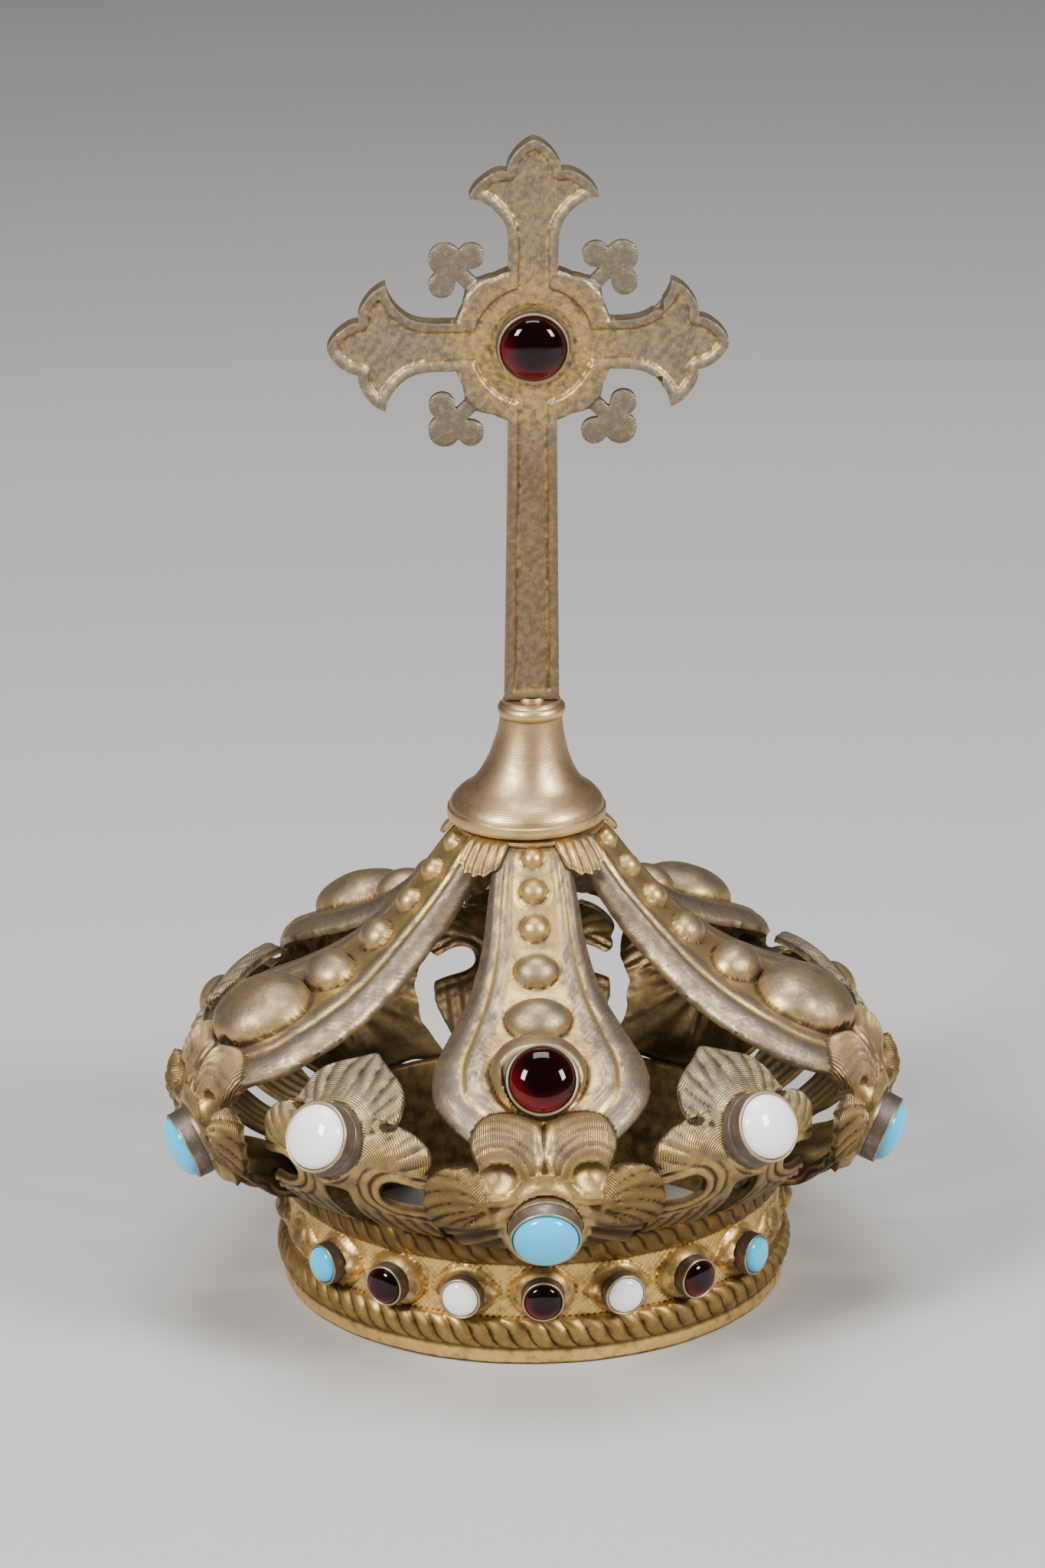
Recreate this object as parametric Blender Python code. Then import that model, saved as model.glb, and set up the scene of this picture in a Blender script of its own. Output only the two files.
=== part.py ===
import math

import bmesh
import bpy
import numpy as np
from mathutils import Matrix, Vector
from mathutils.geometry import delaunay_2d_cdt

# Ceremonial crown, standing on its foot ring, front toward -Y. Sizes are in
# millimetres and become metres when each mesh is made.
mm = 0.001
seatGap = 0.3

# The crown's own axis stands this far behind the middle of its overall box
axisBack = 3.66

# Circlet, the driving sizes of the whole crown
circletHeight = 25.6
groundRadius = 48.0
circletWall = 1.8
rimStand = 0.7
rimTop = 3.1
ropeStand = 2.0
ropeValleyStand = 1.0
ropeTop = 9.4
upperRopeWidth = 5.6
upperStand = 1.3
upperValleyStand = 0.5
strands = 84
motifs = 21
motifDrop = 0.2
motifSeatStand = 2.2
motifPeakStand = 3.3
motifSeatRadius = 4.2
motifBossRadius = 5.0
stoneOval = [(0, 4.7), (2.7, 3.4), (4.9, 1.5), (6.4, 0), (4.9, -1.5), (2.7, -3.4),
             (0, -4.7), (-2.7, -3.4), (-4.9, -1.5), (-6.4, 0), (-4.9, 1.5), (-2.7, 3.4)]
plainOval = [(0, 3.9), (2.6, 3.0), (4.8, 1.4), (6.2, 0), (4.8, -1.4), (2.6, -3.0),
             (0, -3.9), (-2.6, -3.0), (-4.8, -1.4), (-6.2, 0), (-4.8, 1.4), (-2.6, 3.0)]
ovalTop = (2.6, 1.7, 2.5)
circletBore = groundRadius - circletWall
rimRadius = groundRadius + rimStand
upperRopeFoot = circletHeight - upperRopeWidth
motifHeight = (ropeTop + upperRopeFoot) / 2 - motifDrop
motifSeat = groundRadius + motifSeatStand

# The dome's outer surface as (radius, height above the circlet), from the top down.
# Its girth follows the circlet, and its heights stand on the circlet's top.
domeProfile = [
    (12.2, 65.3), (13.9, 64.8), (15.9, 62.9), (18.9, 59.0), (23.6, 53.5), (29.4, 47.85),
    (37.6, 41.7), (46.0, 37.7), (54.2, 34.5), (60.2, 30.8), (64.4, 26.0), (66.8, 20.8),
    (67.3, 15.4), (65.7, 10.6), (62.2, 6.7), (57.6, 3.6), (53.0, 1.6), (48.2, 0.6),
    (46.6, 0.35)]
domeFootStand = 0.2
girth = (groundRadius + domeFootStand) / domeProfile[-2][0]
archAngles = {"front": 0, "left": -72, "right": 72, "rear_left": -144, "rear_right": 144}
leafAngles = {"front_left": -36, "front_right": 36, "side_left": -108, "side_right": 108,
              "back": 180}
sheet = 1.3
outlineStep = 7.0
alongStart = 35.4

# Arch: half width along the strap, then the leaf foot, as (across, along)
strapEdge = [(7.2, 0.6), (8.4, 4), (9.9, 13), (11.1, 22), (13.4, 31.5), (17.1, 41),
             (20.4, 50), (20.9, 56), (20.5, 59.5), (18.3, 63), (14.2, 67)]
footEdge = [(13.3, 69.5), (12.5, 72.2), (14.2, 71.8), (16.8, 71.9), (19.6, 72.9),
            (21.3, 74.8), (21.9, 77.5), (21.7, 80), (20.2, 82.5), (18.5, 84.5),
            (17.5, 88), (16, 91.5), (14.9, 97), (13.8, 103.6)]
bandLine = [(3.4, 1.6), (4.2, 15), (5.2, 27), (7.2, 41), (10.6, 50), (12.0, 57), (10.4, 61.4)]
flangeLine = [(5.6, 1.6), (6.9, 15), (8.2, 27), (11.2, 40), (14.2, 50), (15.0, 57),
              (13.2, 62.2)]
bandStand = 0.8
bandRise = (7.0, 15.0)
archFlangeDroop = [(0, 1.6), (9, 2.4), (20, 3.2), (30, 2.7), (42, 2.0), (62, 1.7), (68, 0)]
strapEnd = 72.0
smallBosses = [(4.2, 2.0, 2.0), (10.8, 2.5, 2.5), (18.3, 2.8, 2.7), (27.4, 4.1, 3.5),
               (38.8, 6.2, 5.0)]
wideBoss = 3.0
bossFoot = 0.1
bigBoss = {"above": 13.5, "long": 9.7, "wide": 10.1, "stand": 5.7}
bigBossFall = 0.9
strapFoot = strapEdge[-1][1]
bigBossAlong = strapFoot - bigBoss["above"]

# Carving of the foot as (across, along, stand)
footCrest = [(1.2, 66.5, 2.0), (3.0, 63.6, 2.0), (6.5, 62.4, 2.0), (10.0, 63.4, 2.0),
             (12.2, 66.2, 2.0), (12.4, 69.4, 2.0)]
eyelet = {"across": 7.9, "below": 6.5, "radius": 2.9, "rim": 1.9, "top": 3.2}
footSwells = [(5.6, 66.4, 2.8), (8.8, 67.6, 3.0), (4.0, 69.8, 1.6), (11.2, 71.8, 1.6),
              (12.2, 75.0, 1.2), (15.4, 75.2, 2.4), (18.4, 76.8, 2.0), (13.2, 79.0, 1.0),
              (16.6, 80.4, 1.6), (11.5, 84.0, 0.8), (14.6, 86.0, 0.9), (10.0, 90.0, 0.9),
              (4.6, 92.5, 2.0)]
footStem = [(0, 65.6, 0.4), (0, 69.0, 1.2), (0, 73.2, 1.8)]
footKeel = [(0, 99.5, 1.6), (0, 95.0, 3.4)]
footBoss = {"below": 14.5, "radius": 5.0, "rim": 1.2, "top": 2.2}

eyeletAlong = strapFoot + eyelet["below"]
footBossAlong = strapFoot + footBoss["below"]

# Palmette: half outline from the tip down to the slot between the legs
palmetteTip = 50.0
slotTop = 80.6
slotHalf = 2.8
slotShoulder = 1.4
palmetteEdge = [(3.4, 53), (6.5, 55), (9, 57), (10.6, 60), (11.3, 62.8), (11.6, 65.4),
                (12.8, 65.6), (15.8, 66.6), (18.2, 68.4), (19.7, 70.6), (19.9, 72.4),
                (19.0, 74.6), (19.7, 77.0), (18.3, 78.6), (16, 77.6), (13, 77),
                (11, 77.8), (9.8, 79.8), (10, 82), (12, 83.7), (15.5, 84.7),
                (18.6, 85.9), (18.2, 89.6), (16.2, 95), (14.0, 100.5), (13.2, 104.2),
                (slotHalf, 104.2), (slotHalf, slotTop + slotShoulder)]
palmetteSet = [(50, -1.0), (68, -1.2), (80, -2.4), (92, -1.2), (100, 0.0)]
palmetteCurl = {"depth": 1.2, "across": (13.0, 20.0), "start": (62.0, 66.0), "end": (84.0, 90.0)}
palmetteStand = 0.3
midrib = [(0, 52.4, 0.4), (0, 56.5, 0.9), (0, 61.0, 1.2)]
palmetteRibs = [[(3.9, 55.6, 0.4), (2.6, 60.0, 0.9)], [(7.6, 58.6, 0.5), (5.6, 61.6, 1.0)],
                [(2.0, 54.4, -0.3), (1.3, 59.0, 0.1)], [(6.0, 57.2, -0.3), (4.3, 60.8, 0.1)],
                [(10.6, 66.6, -0.4), (8.4, 68.4, -0.3)], [(14.8, 68.4, 0.5), (10.6, 70.4, 1.2)],
                [(17.6, 72.6, 0.5), (11.6, 73.4, 1.2)], [(16.8, 70.6, -0.3), (12.4, 71.8, 0.3)]]
palmetteSwells = [(17.4, 76.2, 1.0), (8.6, 76.6, 0.9), (6.3, 81.0, 1.1), (7.0, 86.0, 1.1),
                  (12.0, 87.2, 1.0), (7.6, 93.5, 0.9), (12.0, 93.0, 0.6)]
palmetteBoss = {"above": 11.6, "radius": 4.6, "rim": 1.4, "top": 2.2}
palmetteBossAlong = slotTop - palmetteBoss["above"]

# Stones: centre radius, height above the circlet, axis elevation
largeStone = 6.1
smallStone = 3.5
garnetAt = (59.5, 36.2, 30)
turquoiseAt = (70.2, 9.3, -22)
whiteAt = (70.55, 25.0, 25)
bezelWall = 0.6
seatMargin = 0.5
garnetMargin = 0.3
seatSlope = 1.1
collarFoot = 0.3
deepCollar = 3.0
garnetDepth = 2.0
turquoiseDepth = 5.0
whiteDepth = 5.4
smallDepth = 1.9
stoneSink = 0.6
stoneRecess = 0.9
stoneClearance = 0.3
largeRise = 3.3
smallRise = 1.7
largeLip = 0.5
smallLip = 0.3

# Cap
capStand = 1.3
capTop = circletHeight + domeProfile[0][1] + capStand
capRadius = 12.9
capSheet = 0.9
capReach = [0.5, 1.2, 4.6, 5.8, 7.6, 5.8, 4.6, 1.2]
capRibs = [0.0, 0.0, 0.0, 0.35, 0.1, 0.35, 0.0, 0.0]
capLift = 0.05

# Socket, as (radius, height) up its outside from its foot
socketFoot = capTop + seatGap
socketProfile = [
    (15.1, 0), (15.1, 2.3), (14.4, 3.6), (12.9, 5.2), (10.7, 6.7), (8.66, 9.8),
    (8.0, 11.3), (6.98, 14.4), (6.24, 17.5), (5.9, 20.0), (6.38, 20.8),
    (6.38, 21.8), (5.9, 22.7), (5.3, 23.4)]
socketTop = socketFoot + socketProfile[-1][1]
boreRadius = 2.8
boreDepth = 10.9

# Cross: plate half thickness and the outline of one fleur end
shaftFoot = socketTop + seatGap
shaftLength = 68.9
crossHeight = shaftFoot + shaftLength
crossReach = {"left": 38.2, "right": 36.5, "up": 39.0}
plate = 2.5
ground = 1.7
leafPlate = 1.0
fleurEdge = [(0.3, 1.0), (1.3, 2.6), (4.2, 4.7), (5.9, 5.1), (6.2, 7.4), (7.9, 10.2),
             (10.8, 12.0), (11.6, 9.6), (13.2, 7.2), (15.3, 5.5), (18.0, 4.65)]
fleurTip = 2.4
fleurGround = [(2.9, 0.9), (5.0, 2.8), (7.9, 3.2), (8.1, 6.0), (9.5, 8.2), (10.6, 6.0),
               (12.8, 4.0), (15.6, 3.1), (18.4, 2.75)]
trefoilEdge = [(15.2, -3.2), (16.0, -1.6), (19.2, -1.35), (18.4, -3.4), (19.6, -6.0),
               (22.2, -5.6), (22.9, -2.9), (25.4, -2.5), (26.2, 0)]
armHalf = 4.6
armGround = 2.7
shaftHalfTop = 4.5
shaftHalfFoot = 5.15
shaftGround = 3.2
shaftBorder = 0.6
discRadius = 15.0
trefoilRoot = 1.3
ringInner = 10.4
ringOuter = 11.6
ringStand = 0.7
discGround = 13.4
pegClearance = 0.4
pegRadius = boreRadius - pegClearance
pegLength = boreDepth - 1.9
pegJoin = 2.0

# The socket and cross lean a little to one side, as (height, shift)
leanStations = [
    (0, 0), (capTop - 2.2, 0), (socketFoot, -0.55), (socketFoot + 5.5, -0.35),
    (socketFoot + 21.3, 0.65), (crossHeight, 1.6), (crossHeight + 38.9, 2.2)]


def spline(points):
    # natural cubic through the points by chord length
    p = np.array(points, float)
    s = np.concatenate([[0], np.cumsum(np.hypot(*np.diff(p, axis=0).T))])
    n = len(s)
    h = np.diff(s)
    a = np.eye(n)
    b = np.zeros((n, 2))
    for i in range(1, n - 1):
        a[i, i - 1:i + 2] = [h[i - 1], 2 * (h[i - 1] + h[i]), h[i]]
        b[i] = 6 * ((p[i + 1] - p[i]) / h[i] - (p[i] - p[i - 1]) / h[i - 1])
    m = np.linalg.solve(a, b)
    return p, s, h, m


domePoints, domeStations, domeSteps, domeBends = spline(domeProfile)
domeStations = domeStations + alongStart - domeStations[6]


def domeAt(along):
    # point and outward normal of the profile at a distance along it
    s = domeStations
    i = int(np.clip(np.searchsorted(s, along) - 1, 0, len(s) - 2))
    h = domeSteps[i]
    a = (s[i + 1] - along) / h
    b = (along - s[i]) / h
    p0, p1, m0, m1 = domePoints[i], domePoints[i + 1], domeBends[i], domeBends[i + 1]
    point = a * p0 + b * p1 + ((a ** 3 - a) * m0 + (b ** 3 - b) * m1) * h * h / 6
    slope = (p1 - p0) / h + ((1 - 3 * a * a) * m0 + (3 * b * b - 1) * m1) * h / 6
    normal = np.array([-slope[1], slope[0]]) / np.hypot(*slope)
    return point, normal


def onDome(across, along, stand):
    point, normal = domeAt(along)
    r = point[0] * girth + normal[0] * stand
    z = point[1] + normal[1] * stand + circletHeight
    angle = across / point[0]
    return Vector((r * math.sin(angle), -r * math.cos(angle), z))


domeSamples = [(t, *domeAt(t)) for t in np.arange(domeStations[0], domeStations[-1], 0.1)]


def domeCoords(v):
    # the across, along and stand of a point in space
    r = math.hypot(v.x, v.y)
    z = v.z - circletHeight
    best = None
    for t, point, normal in domeSamples:
        gap = math.hypot(r - point[0] * girth, z - point[1])
        if best is None or gap < best[0]:
            best = (gap, t, point, normal)
    gap, t, point, normal = best
    stand = (r - point[0] * girth) * normal[0] + (z - point[1]) * normal[1]
    return math.atan2(v.x, -v.y) * point[0], t, stand


def leanAt(z):
    return float(np.interp(z, [p[0] for p in leanStations], [p[1] for p in leanStations]))


def mirrored(half):
    return half + [(-u, *rest) for u, *rest in reversed(half)]


def ring(across, along, wide, long, stand, count, turn=0.0):
    out = []
    for k in range(count):
        a = 2 * math.pi * (k + turn) / count
        out.append((across + wide * math.cos(a), along + long * math.sin(a), stand))
    return out


def stonePlace(at):
    # radius, height and elevation of a stone whose place is given on the dome
    return at[0] * girth, at[1] + circletHeight, at[2]


def frontAxis(elevation):
    e = math.radians(elevation)
    return Vector((0, -math.cos(e), math.sin(e)))


def planeRing(at, radius, depth, count):
    # ring of dome coordinates on the flat seat a depth behind a stone's girdle
    r, z, elevation = stonePlace(at)
    axis = frontAxis(elevation)
    side = Vector((1, 0, 0))
    rise = side.cross(axis)
    centre = Vector((0, -r, z)) - axis * depth
    out = []
    for k in range(count):
        a = 2 * math.pi * k / count
        out.append(domeCoords(centre + (side * math.cos(a) + rise * math.sin(a)) * radius))
    return out


def inside(point, loop):
    x, y = point
    hit = False
    for (x0, y0, *_), (x1, y1, *_) in zip(loop, loop[1:] + loop[:1]):
        if (y0 > y) != (y1 > y) and x < (x1 - x0) * (y - y0) / (y1 - y0) + x0:
            hit = not hit
    return hit


def gapTo(point, a, b):
    px, py = point
    dx, dy = b[0] - a[0], b[1] - a[1]
    length = dx * dx + dy * dy
    s = 0 if length == 0 else max(0, min(1, ((px - a[0]) * dx + (py - a[1]) * dy) / length))
    return math.hypot(px - a[0] - s * dx, py - a[1] - s * dy)


def split(loop, step):
    out = []
    for a, b in zip(loop, loop[1:] + loop[:1]):
        count = max(1, math.ceil(math.hypot(b[0] - a[0], b[1] - a[1]) / step))
        out += [tuple(a[i] + (b[i] - a[i]) * k / count for i in range(len(a)))
                for k in range(count)]
    return out


def triangulate(outline, lines, loose, step, flats=()):
    # triangles over an outline, kept to its lines, with a grid of points added off the flats
    points = list(outline)
    edges = [(i, (i + 1) % len(outline)) for i in range(len(outline))]
    for line, closed in lines:
        first = len(points)
        points += line
        count = len(line)
        edges += [(first + i, first + (i + 1) % count) for i in range(count - (not closed))]
    fixed = list(edges)
    points += loose
    low = min(p[0] for p in outline), min(p[1] for p in outline)
    high = max(p[0] for p in outline), max(p[1] for p in outline)
    kept = list(points)
    if step:
        columns = int((high[0] - low[0]) / step) + 1
        rows = int((high[1] - low[1]) / step) + 1
        for j in range(rows + 1):
            for i in range(-columns, columns + 1):
                p = ((i + 0.5 * (j % 2)) * step, low[1] + (j + 0.5) * step)
                if not inside(p, outline) or any(inside(p, flat) for flat in flats):
                    continue
                if min(gapTo(p, points[a], points[b]) for a, b in fixed) < 0.5 * step:
                    continue
                if min(math.hypot(p[0] - q[0], p[1] - q[1]) for q in kept) < 0.6 * step:
                    continue
                kept.append((*p, None))
    flat = [Vector(p[:2]) for p in kept]
    verts, _, faces, origin, _, _ = delaunay_2d_cdt(flat, edges, [], 0, 1e-5)
    where = []
    for k, v in enumerate(verts):
        where.append(kept[origin[k][0]] if origin[k] else (v.x, v.y, None))
    keep = []
    for f in faces:
        c = (sum(verts[i].x for i in f) / 3, sum(verts[i].y for i in f) / 3)
        if inside(c, outline):
            keep.append(tuple(f))
    return where, keep


def makeObject(name, mesh, color, roughness, metallic):
    material = bpy.data.materials.new(name)
    material.use_nodes = True
    shader = material.node_tree.nodes["Principled BSDF"]
    shader.inputs["Base Color"].default_value = (*color, 1)
    shader.inputs["Roughness"].default_value = roughness
    shader.inputs["Metallic"].default_value = metallic
    obj = bpy.data.objects.new(name, mesh)
    bpy.context.scene.collection.objects.link(obj)
    if not mesh.materials:
        mesh.materials.append(None)
    obj.material_slots[0].link = "OBJECT"
    obj.material_slots[0].material = material
    return obj


def closedMesh(name, verts, faces):
    mesh = bpy.data.meshes.new(name)
    mesh.from_pydata([Vector(v) * mm for v in verts], [], faces)
    bm = bmesh.new()
    bm.from_mesh(mesh)
    bmesh.ops.remove_doubles(bm, verts=bm.verts, dist=1e-6)
    bmesh.ops.recalc_face_normals(bm, faces=bm.faces)
    bmesh.ops.triangulate(bm, faces=bm.faces)
    if bm.calc_volume(signed=True) < 0:
        bmesh.ops.reverse_faces(bm, faces=bm.faces)
    bm.to_mesh(mesh)
    bm.free()
    return mesh


def sheetMesh(name, outline, lines, loose, step, bend, relief, thick, flats):
    # a formed sheet: outer face with its relief, plain inner face, walls along the edge
    outer, outerFaces = triangulate(outline, lines, loose, step, flats)
    inner, innerFaces = triangulate(outline, [], [], step * 1.7)
    verts = []
    for u, t, stand in outer:
        stand = relief(u, t) if stand is None else stand
        verts.append(onDome(u, t, bend(u, t) + stand))
    shift = len(verts)
    for u, t, _ in inner:
        verts.append(onDome(u, t, bend(u, t) - thick))
    faces = [tuple(f) for f in outerFaces]
    faces += [tuple(shift + i for i in reversed(f)) for f in innerFaces]
    n = len(outline)
    outerAt = {(round(p[0], 4), round(p[1], 4)): k for k, p in enumerate(outer)}
    innerAt = {(round(p[0], 4), round(p[1], 4)): k + shift for k, p in enumerate(inner)}
    keys = [(round(p[0], 4), round(p[1], 4)) for p in outline]
    for i in range(n):
        a, b = keys[i], keys[(i + 1) % n]
        faces.append((outerAt[a], outerAt[b], innerAt[b], innerAt[a]))
    return closedMesh(name, verts, faces)


def smooth(low, high, x):
    s = max(0.0, min(1.0, (x - low) / (high - low)))
    return s * s * (3 - 2 * s)


# Arches


def strapHalf(along):
    edge = strapEdge + footEdge[:1]
    return float(np.interp(along, [p[1] for p in edge], [p[0] for p in edge]))


def archBend(across, along):
    # the rolled flanges droop toward the strap's edges
    if along > strapEnd:
        return 0.0
    half = strapHalf(along)
    start = float(np.interp(along, [p[1] for p in flangeLine], [p[0] for p in flangeLine]))
    droop = float(np.interp(along, [p[0] for p in archFlangeDroop], [p[1] for p in archFlangeDroop]))
    share = max(0.0, (abs(across) - start) / (half - start))
    return -droop * min(share, 1.0) ** 2


def bigBossStand(across, along):
    down = (along - bigBossAlong) / bigBoss["long"]
    side = across / bigBoss["wide"]
    left = 1 - down * down - side * side
    if left <= 0:
        return 0.0
    return bigBoss["stand"] * math.sqrt(left) + bigBossFall * max(down, 0) ** 2


def archMesh(name, garnetSeat, turquoiseSeat):
    half = strapEdge + footEdge
    outline = split([(u, t, 0.0) for u, t in mirrored(half)], outlineStep)
    outline = [(u, t, 0.0) for u, t, _ in outline]
    lines = []
    loose = []
    flats = []
    for sign in (1, -1):
        lines.append(([(sign * u, t, 0.0) for u, t in bandLine], False))
        lines.append(([(sign * u, t, bandStand * smooth(*bandRise, t)) for u, t in flangeLine], False))
    for along, wide, long in smallBosses:
        count = 8 if wide > wideBoss else 6
        lines.append((ring(0, along, wide, long, bossFoot, count), True))
        if wide > wideBoss:
            top = min(wide, long) * 0.6
            lines.append((ring(0, along, wide * 0.72, long * 0.72, top, count, 0.5), True))
        loose.append((0, along, min(wide, long) * 0.85))
    seat = []
    if garnetSeat:
        rim = largeStone + bezelWall + garnetMargin
        seat = planeRing(garnetAt, rim, garnetDepth + seatGap, 14)
        lines.append((seat, True))
        flats.append(seat)
        wall = planeRing(garnetAt, rim * 1.09, garnetDepth + seatGap, 14)
        wall = [(u, t, max(bigBossStand(u, t), 0.0)) for u, t, _ in wall]
        lines.append((wall, True))
        seat = planeRing(garnetAt, rim * 1.27, garnetDepth + seatGap, 14)
    for share, count in ((1.0, 14), (0.88, 14), (0.6, 10), (0.25, 5)):
        wide, long = bigBoss["wide"] * share, bigBoss["long"] * share
        for u, t, _ in ring(0, bigBossAlong, wide, long, 0, count):
            if not (seat and inside((u, t), seat)):
                down = (t - bigBossAlong) * 0.999
                loose.append((u, t, bigBossStand(u * 0.999, bigBossAlong + down)))
    # leaf foot: two upper lobes, eyelets, side lobes, stem and keel
    for sign in (1, -1):
        lines.append(([(sign * u, t, h) for u, t, h in footCrest], False))
        r = eyelet["radius"]
        lines.append((ring(sign * eyelet["across"], eyeletAlong, r, r, eyelet["rim"], 7), True))
        loose.append((sign * eyelet["across"], eyeletAlong, eyelet["top"]))
        loose += [(sign * u, t, h) for u, t, h in footSwells]
    lines.append((footStem, False))
    loose += footKeel
    if turquoiseSeat:
        rim = largeStone + bezelWall + seatMargin
        pad = planeRing(turquoiseAt, rim, turquoiseDepth + seatGap, 12)
        lines.append((pad, True))
        flats.append(pad)
        base = planeRing(turquoiseAt, rim * 1.15, turquoiseDepth + seatGap, 12)
        lines.append(([(u, t, max(0.0, h - seatSlope)) for u, t, h in base], True))
    else:
        r = footBoss["radius"]
        lines.append((ring(0, footBossAlong, r, r, footBoss["rim"], 8), True))
        loose.append((0, footBossAlong, footBoss["top"]))
    return sheetMesh(name, outline, lines, loose, 6.2, archBend, lambda u, t: 0.0, sheet, flats)


# Palmettes


def palmetteBend(across, along):
    inset = float(np.interp(along, [p[0] for p in palmetteSet], [p[1] for p in palmetteSet]))
    edge = smooth(*palmetteCurl["across"], abs(across)) * smooth(*palmetteCurl["start"], along)
    return inset - palmetteCurl["depth"] * edge * (1 - smooth(*palmetteCurl["end"], along))


def palmetteMesh(name, whiteSeat):
    half = palmetteEdge
    outline = [(0, palmetteTip), *half, (0, slotTop), *[(-u, t) for u, t in reversed(half)]]
    outline = [(u, t, 0.0) for u, t in outline]
    outline = [(u, t, 0.0) for u, t, _ in split(outline, 6.5)]
    loose = []
    flats = []
    # fans of ribs, high on the rib and low between
    lines = [(midrib, False)]
    for sign in (1, -1):
        for rib in palmetteRibs:
            lines.append(([(sign * u, t, h) for u, t, h in rib], False))
        loose += [(sign * u, t, h) for u, t, h in palmetteSwells]
    if whiteSeat:
        rim = largeStone + bezelWall + seatMargin
        pad = planeRing(whiteAt, rim, whiteDepth + seatGap, 12)
        pad = [(u, t, h - palmetteBend(u, t)) for u, t, h in pad]
        lines.append((pad, True))
        flats.append(pad)
        base = planeRing(whiteAt, rim * 1.1, whiteDepth + seatGap, 12)
        base = [(u, t, max(palmetteStand, h - palmetteBend(u, t) - seatSlope)) for u, t, h in base]
        lines.append((base, True))
    else:
        r = palmetteBoss["radius"]
        lines.append((ring(0, palmetteBossAlong, r, r, palmetteBoss["rim"], 8), True))
        loose.append((0, palmetteBossAlong, palmetteBoss["top"]))
    return sheetMesh(name, outline, lines, loose, 5.0, palmetteBend,
                     lambda u, t: palmetteStand, sheet, flats)


# Circlet


def circletMesh(name):
    count = strands * 2
    verts = []
    faces = []

    def addRing(radius, z, shift=0.0, number=count):
        first = len(verts)
        for k in range(number):
            a = 2 * math.pi * (k + shift) / number
            r = radius(k) if callable(radius) else radius
            verts.append((r * math.sin(a), -r * math.cos(a), z))
        return first, number

    def bridge(low, high):
        (a, n), (b, m) = low, high
        if n == m:
            for k in range(n):
                faces.append((a + k, a + (k + 1) % n, b + (k + 1) % m, b + k))
            return
        ratio = n // m
        for k in range(m):
            for j in range(ratio):
                corner = b + k if j < ratio // 2 else b + (k + 1) % m
                faces.append((a + k * ratio + j, a + (k * ratio + j + 1) % n, corner))
            faces.append((a + k * ratio + ratio // 2, b + (k + 1) % m, b + k))

    def rope(foot, crest, valley, low, high, top, shift):
        # strands lean: the crest row alternates ridge and valley and the rows are turned
        middle = addRing(lambda k: groundRadius + (valley if k % 2 else crest), (low + high) / 2, shift)
        bridge(foot, middle)
        bridge(middle, top)

    foot = addRing(rimRadius, 0.0, 1.5)
    rim = addRing(rimRadius, rimTop, 1.5)
    bridge(foot, rim)
    ropeEdge = addRing(groundRadius, ropeTop, -0.5)
    rope(rim, ropeStand, ropeValleyStand, rimTop, ropeTop, ropeEdge, 0.5)
    ropeFoot = addRing(groundRadius, upperRopeFoot, 0.5)
    crown = addRing(groundRadius, circletHeight, -1.5)
    rope(ropeFoot, upperStand, upperValleyStand, upperRopeFoot, circletHeight, crown, -0.5)

    # stamped ground: round bosses behind garnets, pointed ovals elsewhere
    sector = count // motifs
    for k in range(motifs):
        step = 2 * math.pi * groundRadius / count
        index = k if k <= motifs // 2 else k - motifs
        centre = k * sector
        low = [((i - sector / 2 - 0.5) * step, ropeTop) for i in range(sector + 1)]
        high = [((i - sector / 2 + 0.5) * step, upperRopeFoot) for i in range(sector, -1, -1)]
        outline = [(u, z, groundRadius) for u, z in low + high]
        if abs(index) <= 3:
            base = [(u, motifHeight + z, groundRadius) for u, z in stoneOval]
            if index % 2 == 0:
                base = ring(0, motifHeight, motifBossRadius, motifBossRadius, groundRadius, 10)
            seat = ring(0, motifHeight, motifSeatRadius, motifSeatRadius, None, 10)
            lines = [(base, True), (seat, True)]
            loose = []
        else:
            lines = [([(u, motifHeight + z, groundRadius) for u, z in plainOval], True)]
            wide, long, stand = ovalTop
            loose = ring(0, motifHeight, wide, long, groundRadius + stand, 6)
            loose.append((0, motifHeight, groundRadius + motifPeakStand))
        where, tris = triangulate(outline, lines, loose, 0)
        first = len(verts)
        turn = 2 * math.pi * centre / count
        for u, z, r in where:
            a = u / groundRadius
            if r is None:
                r = motifSeat / math.cos(a)
            a += turn
            verts.append((r * math.sin(a), -r * math.cos(a), z))
        faces.extend(tuple(first + i for i in f) for f in tris)

    inner = count // 4
    topInner = addRing(circletBore, circletHeight, 0.5, inner)
    footInner = addRing(circletBore, 0.0, 0.0, inner)
    bridge(crown, topInner)
    bridge(topInner, footInner)
    bridge(foot, footInner)
    return closedMesh(name, verts, faces)


# Turned pieces


def turned(name, profile, count, lean=None):
    # profile from the lower axis point up the outside to the upper axis point
    verts = []
    faces = []
    rows = []
    for r, z in profile:
        dx = lean(z) if lean else 0.0
        if r < 1e-6:
            rows.append([len(verts)])
            verts.append((dx, 0, z))
        else:
            rows.append([len(verts) + k for k in range(count)])
            verts += [(r * math.sin(2 * math.pi * k / count) + dx,
                       -r * math.cos(2 * math.pi * k / count), z) for k in range(count)]
    for low, high in zip(rows, rows[1:]):
        for k in range(count):
            j = (k + 1) % count
            if len(low) == 1:
                faces.append((low[0], high[j], high[k]))
            elif len(high) == 1:
                faces.append((low[k], low[j], high[0]))
            else:
                faces.append((low[k], low[j], high[j], high[k]))
    return closedMesh(name, verts, faces)


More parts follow.
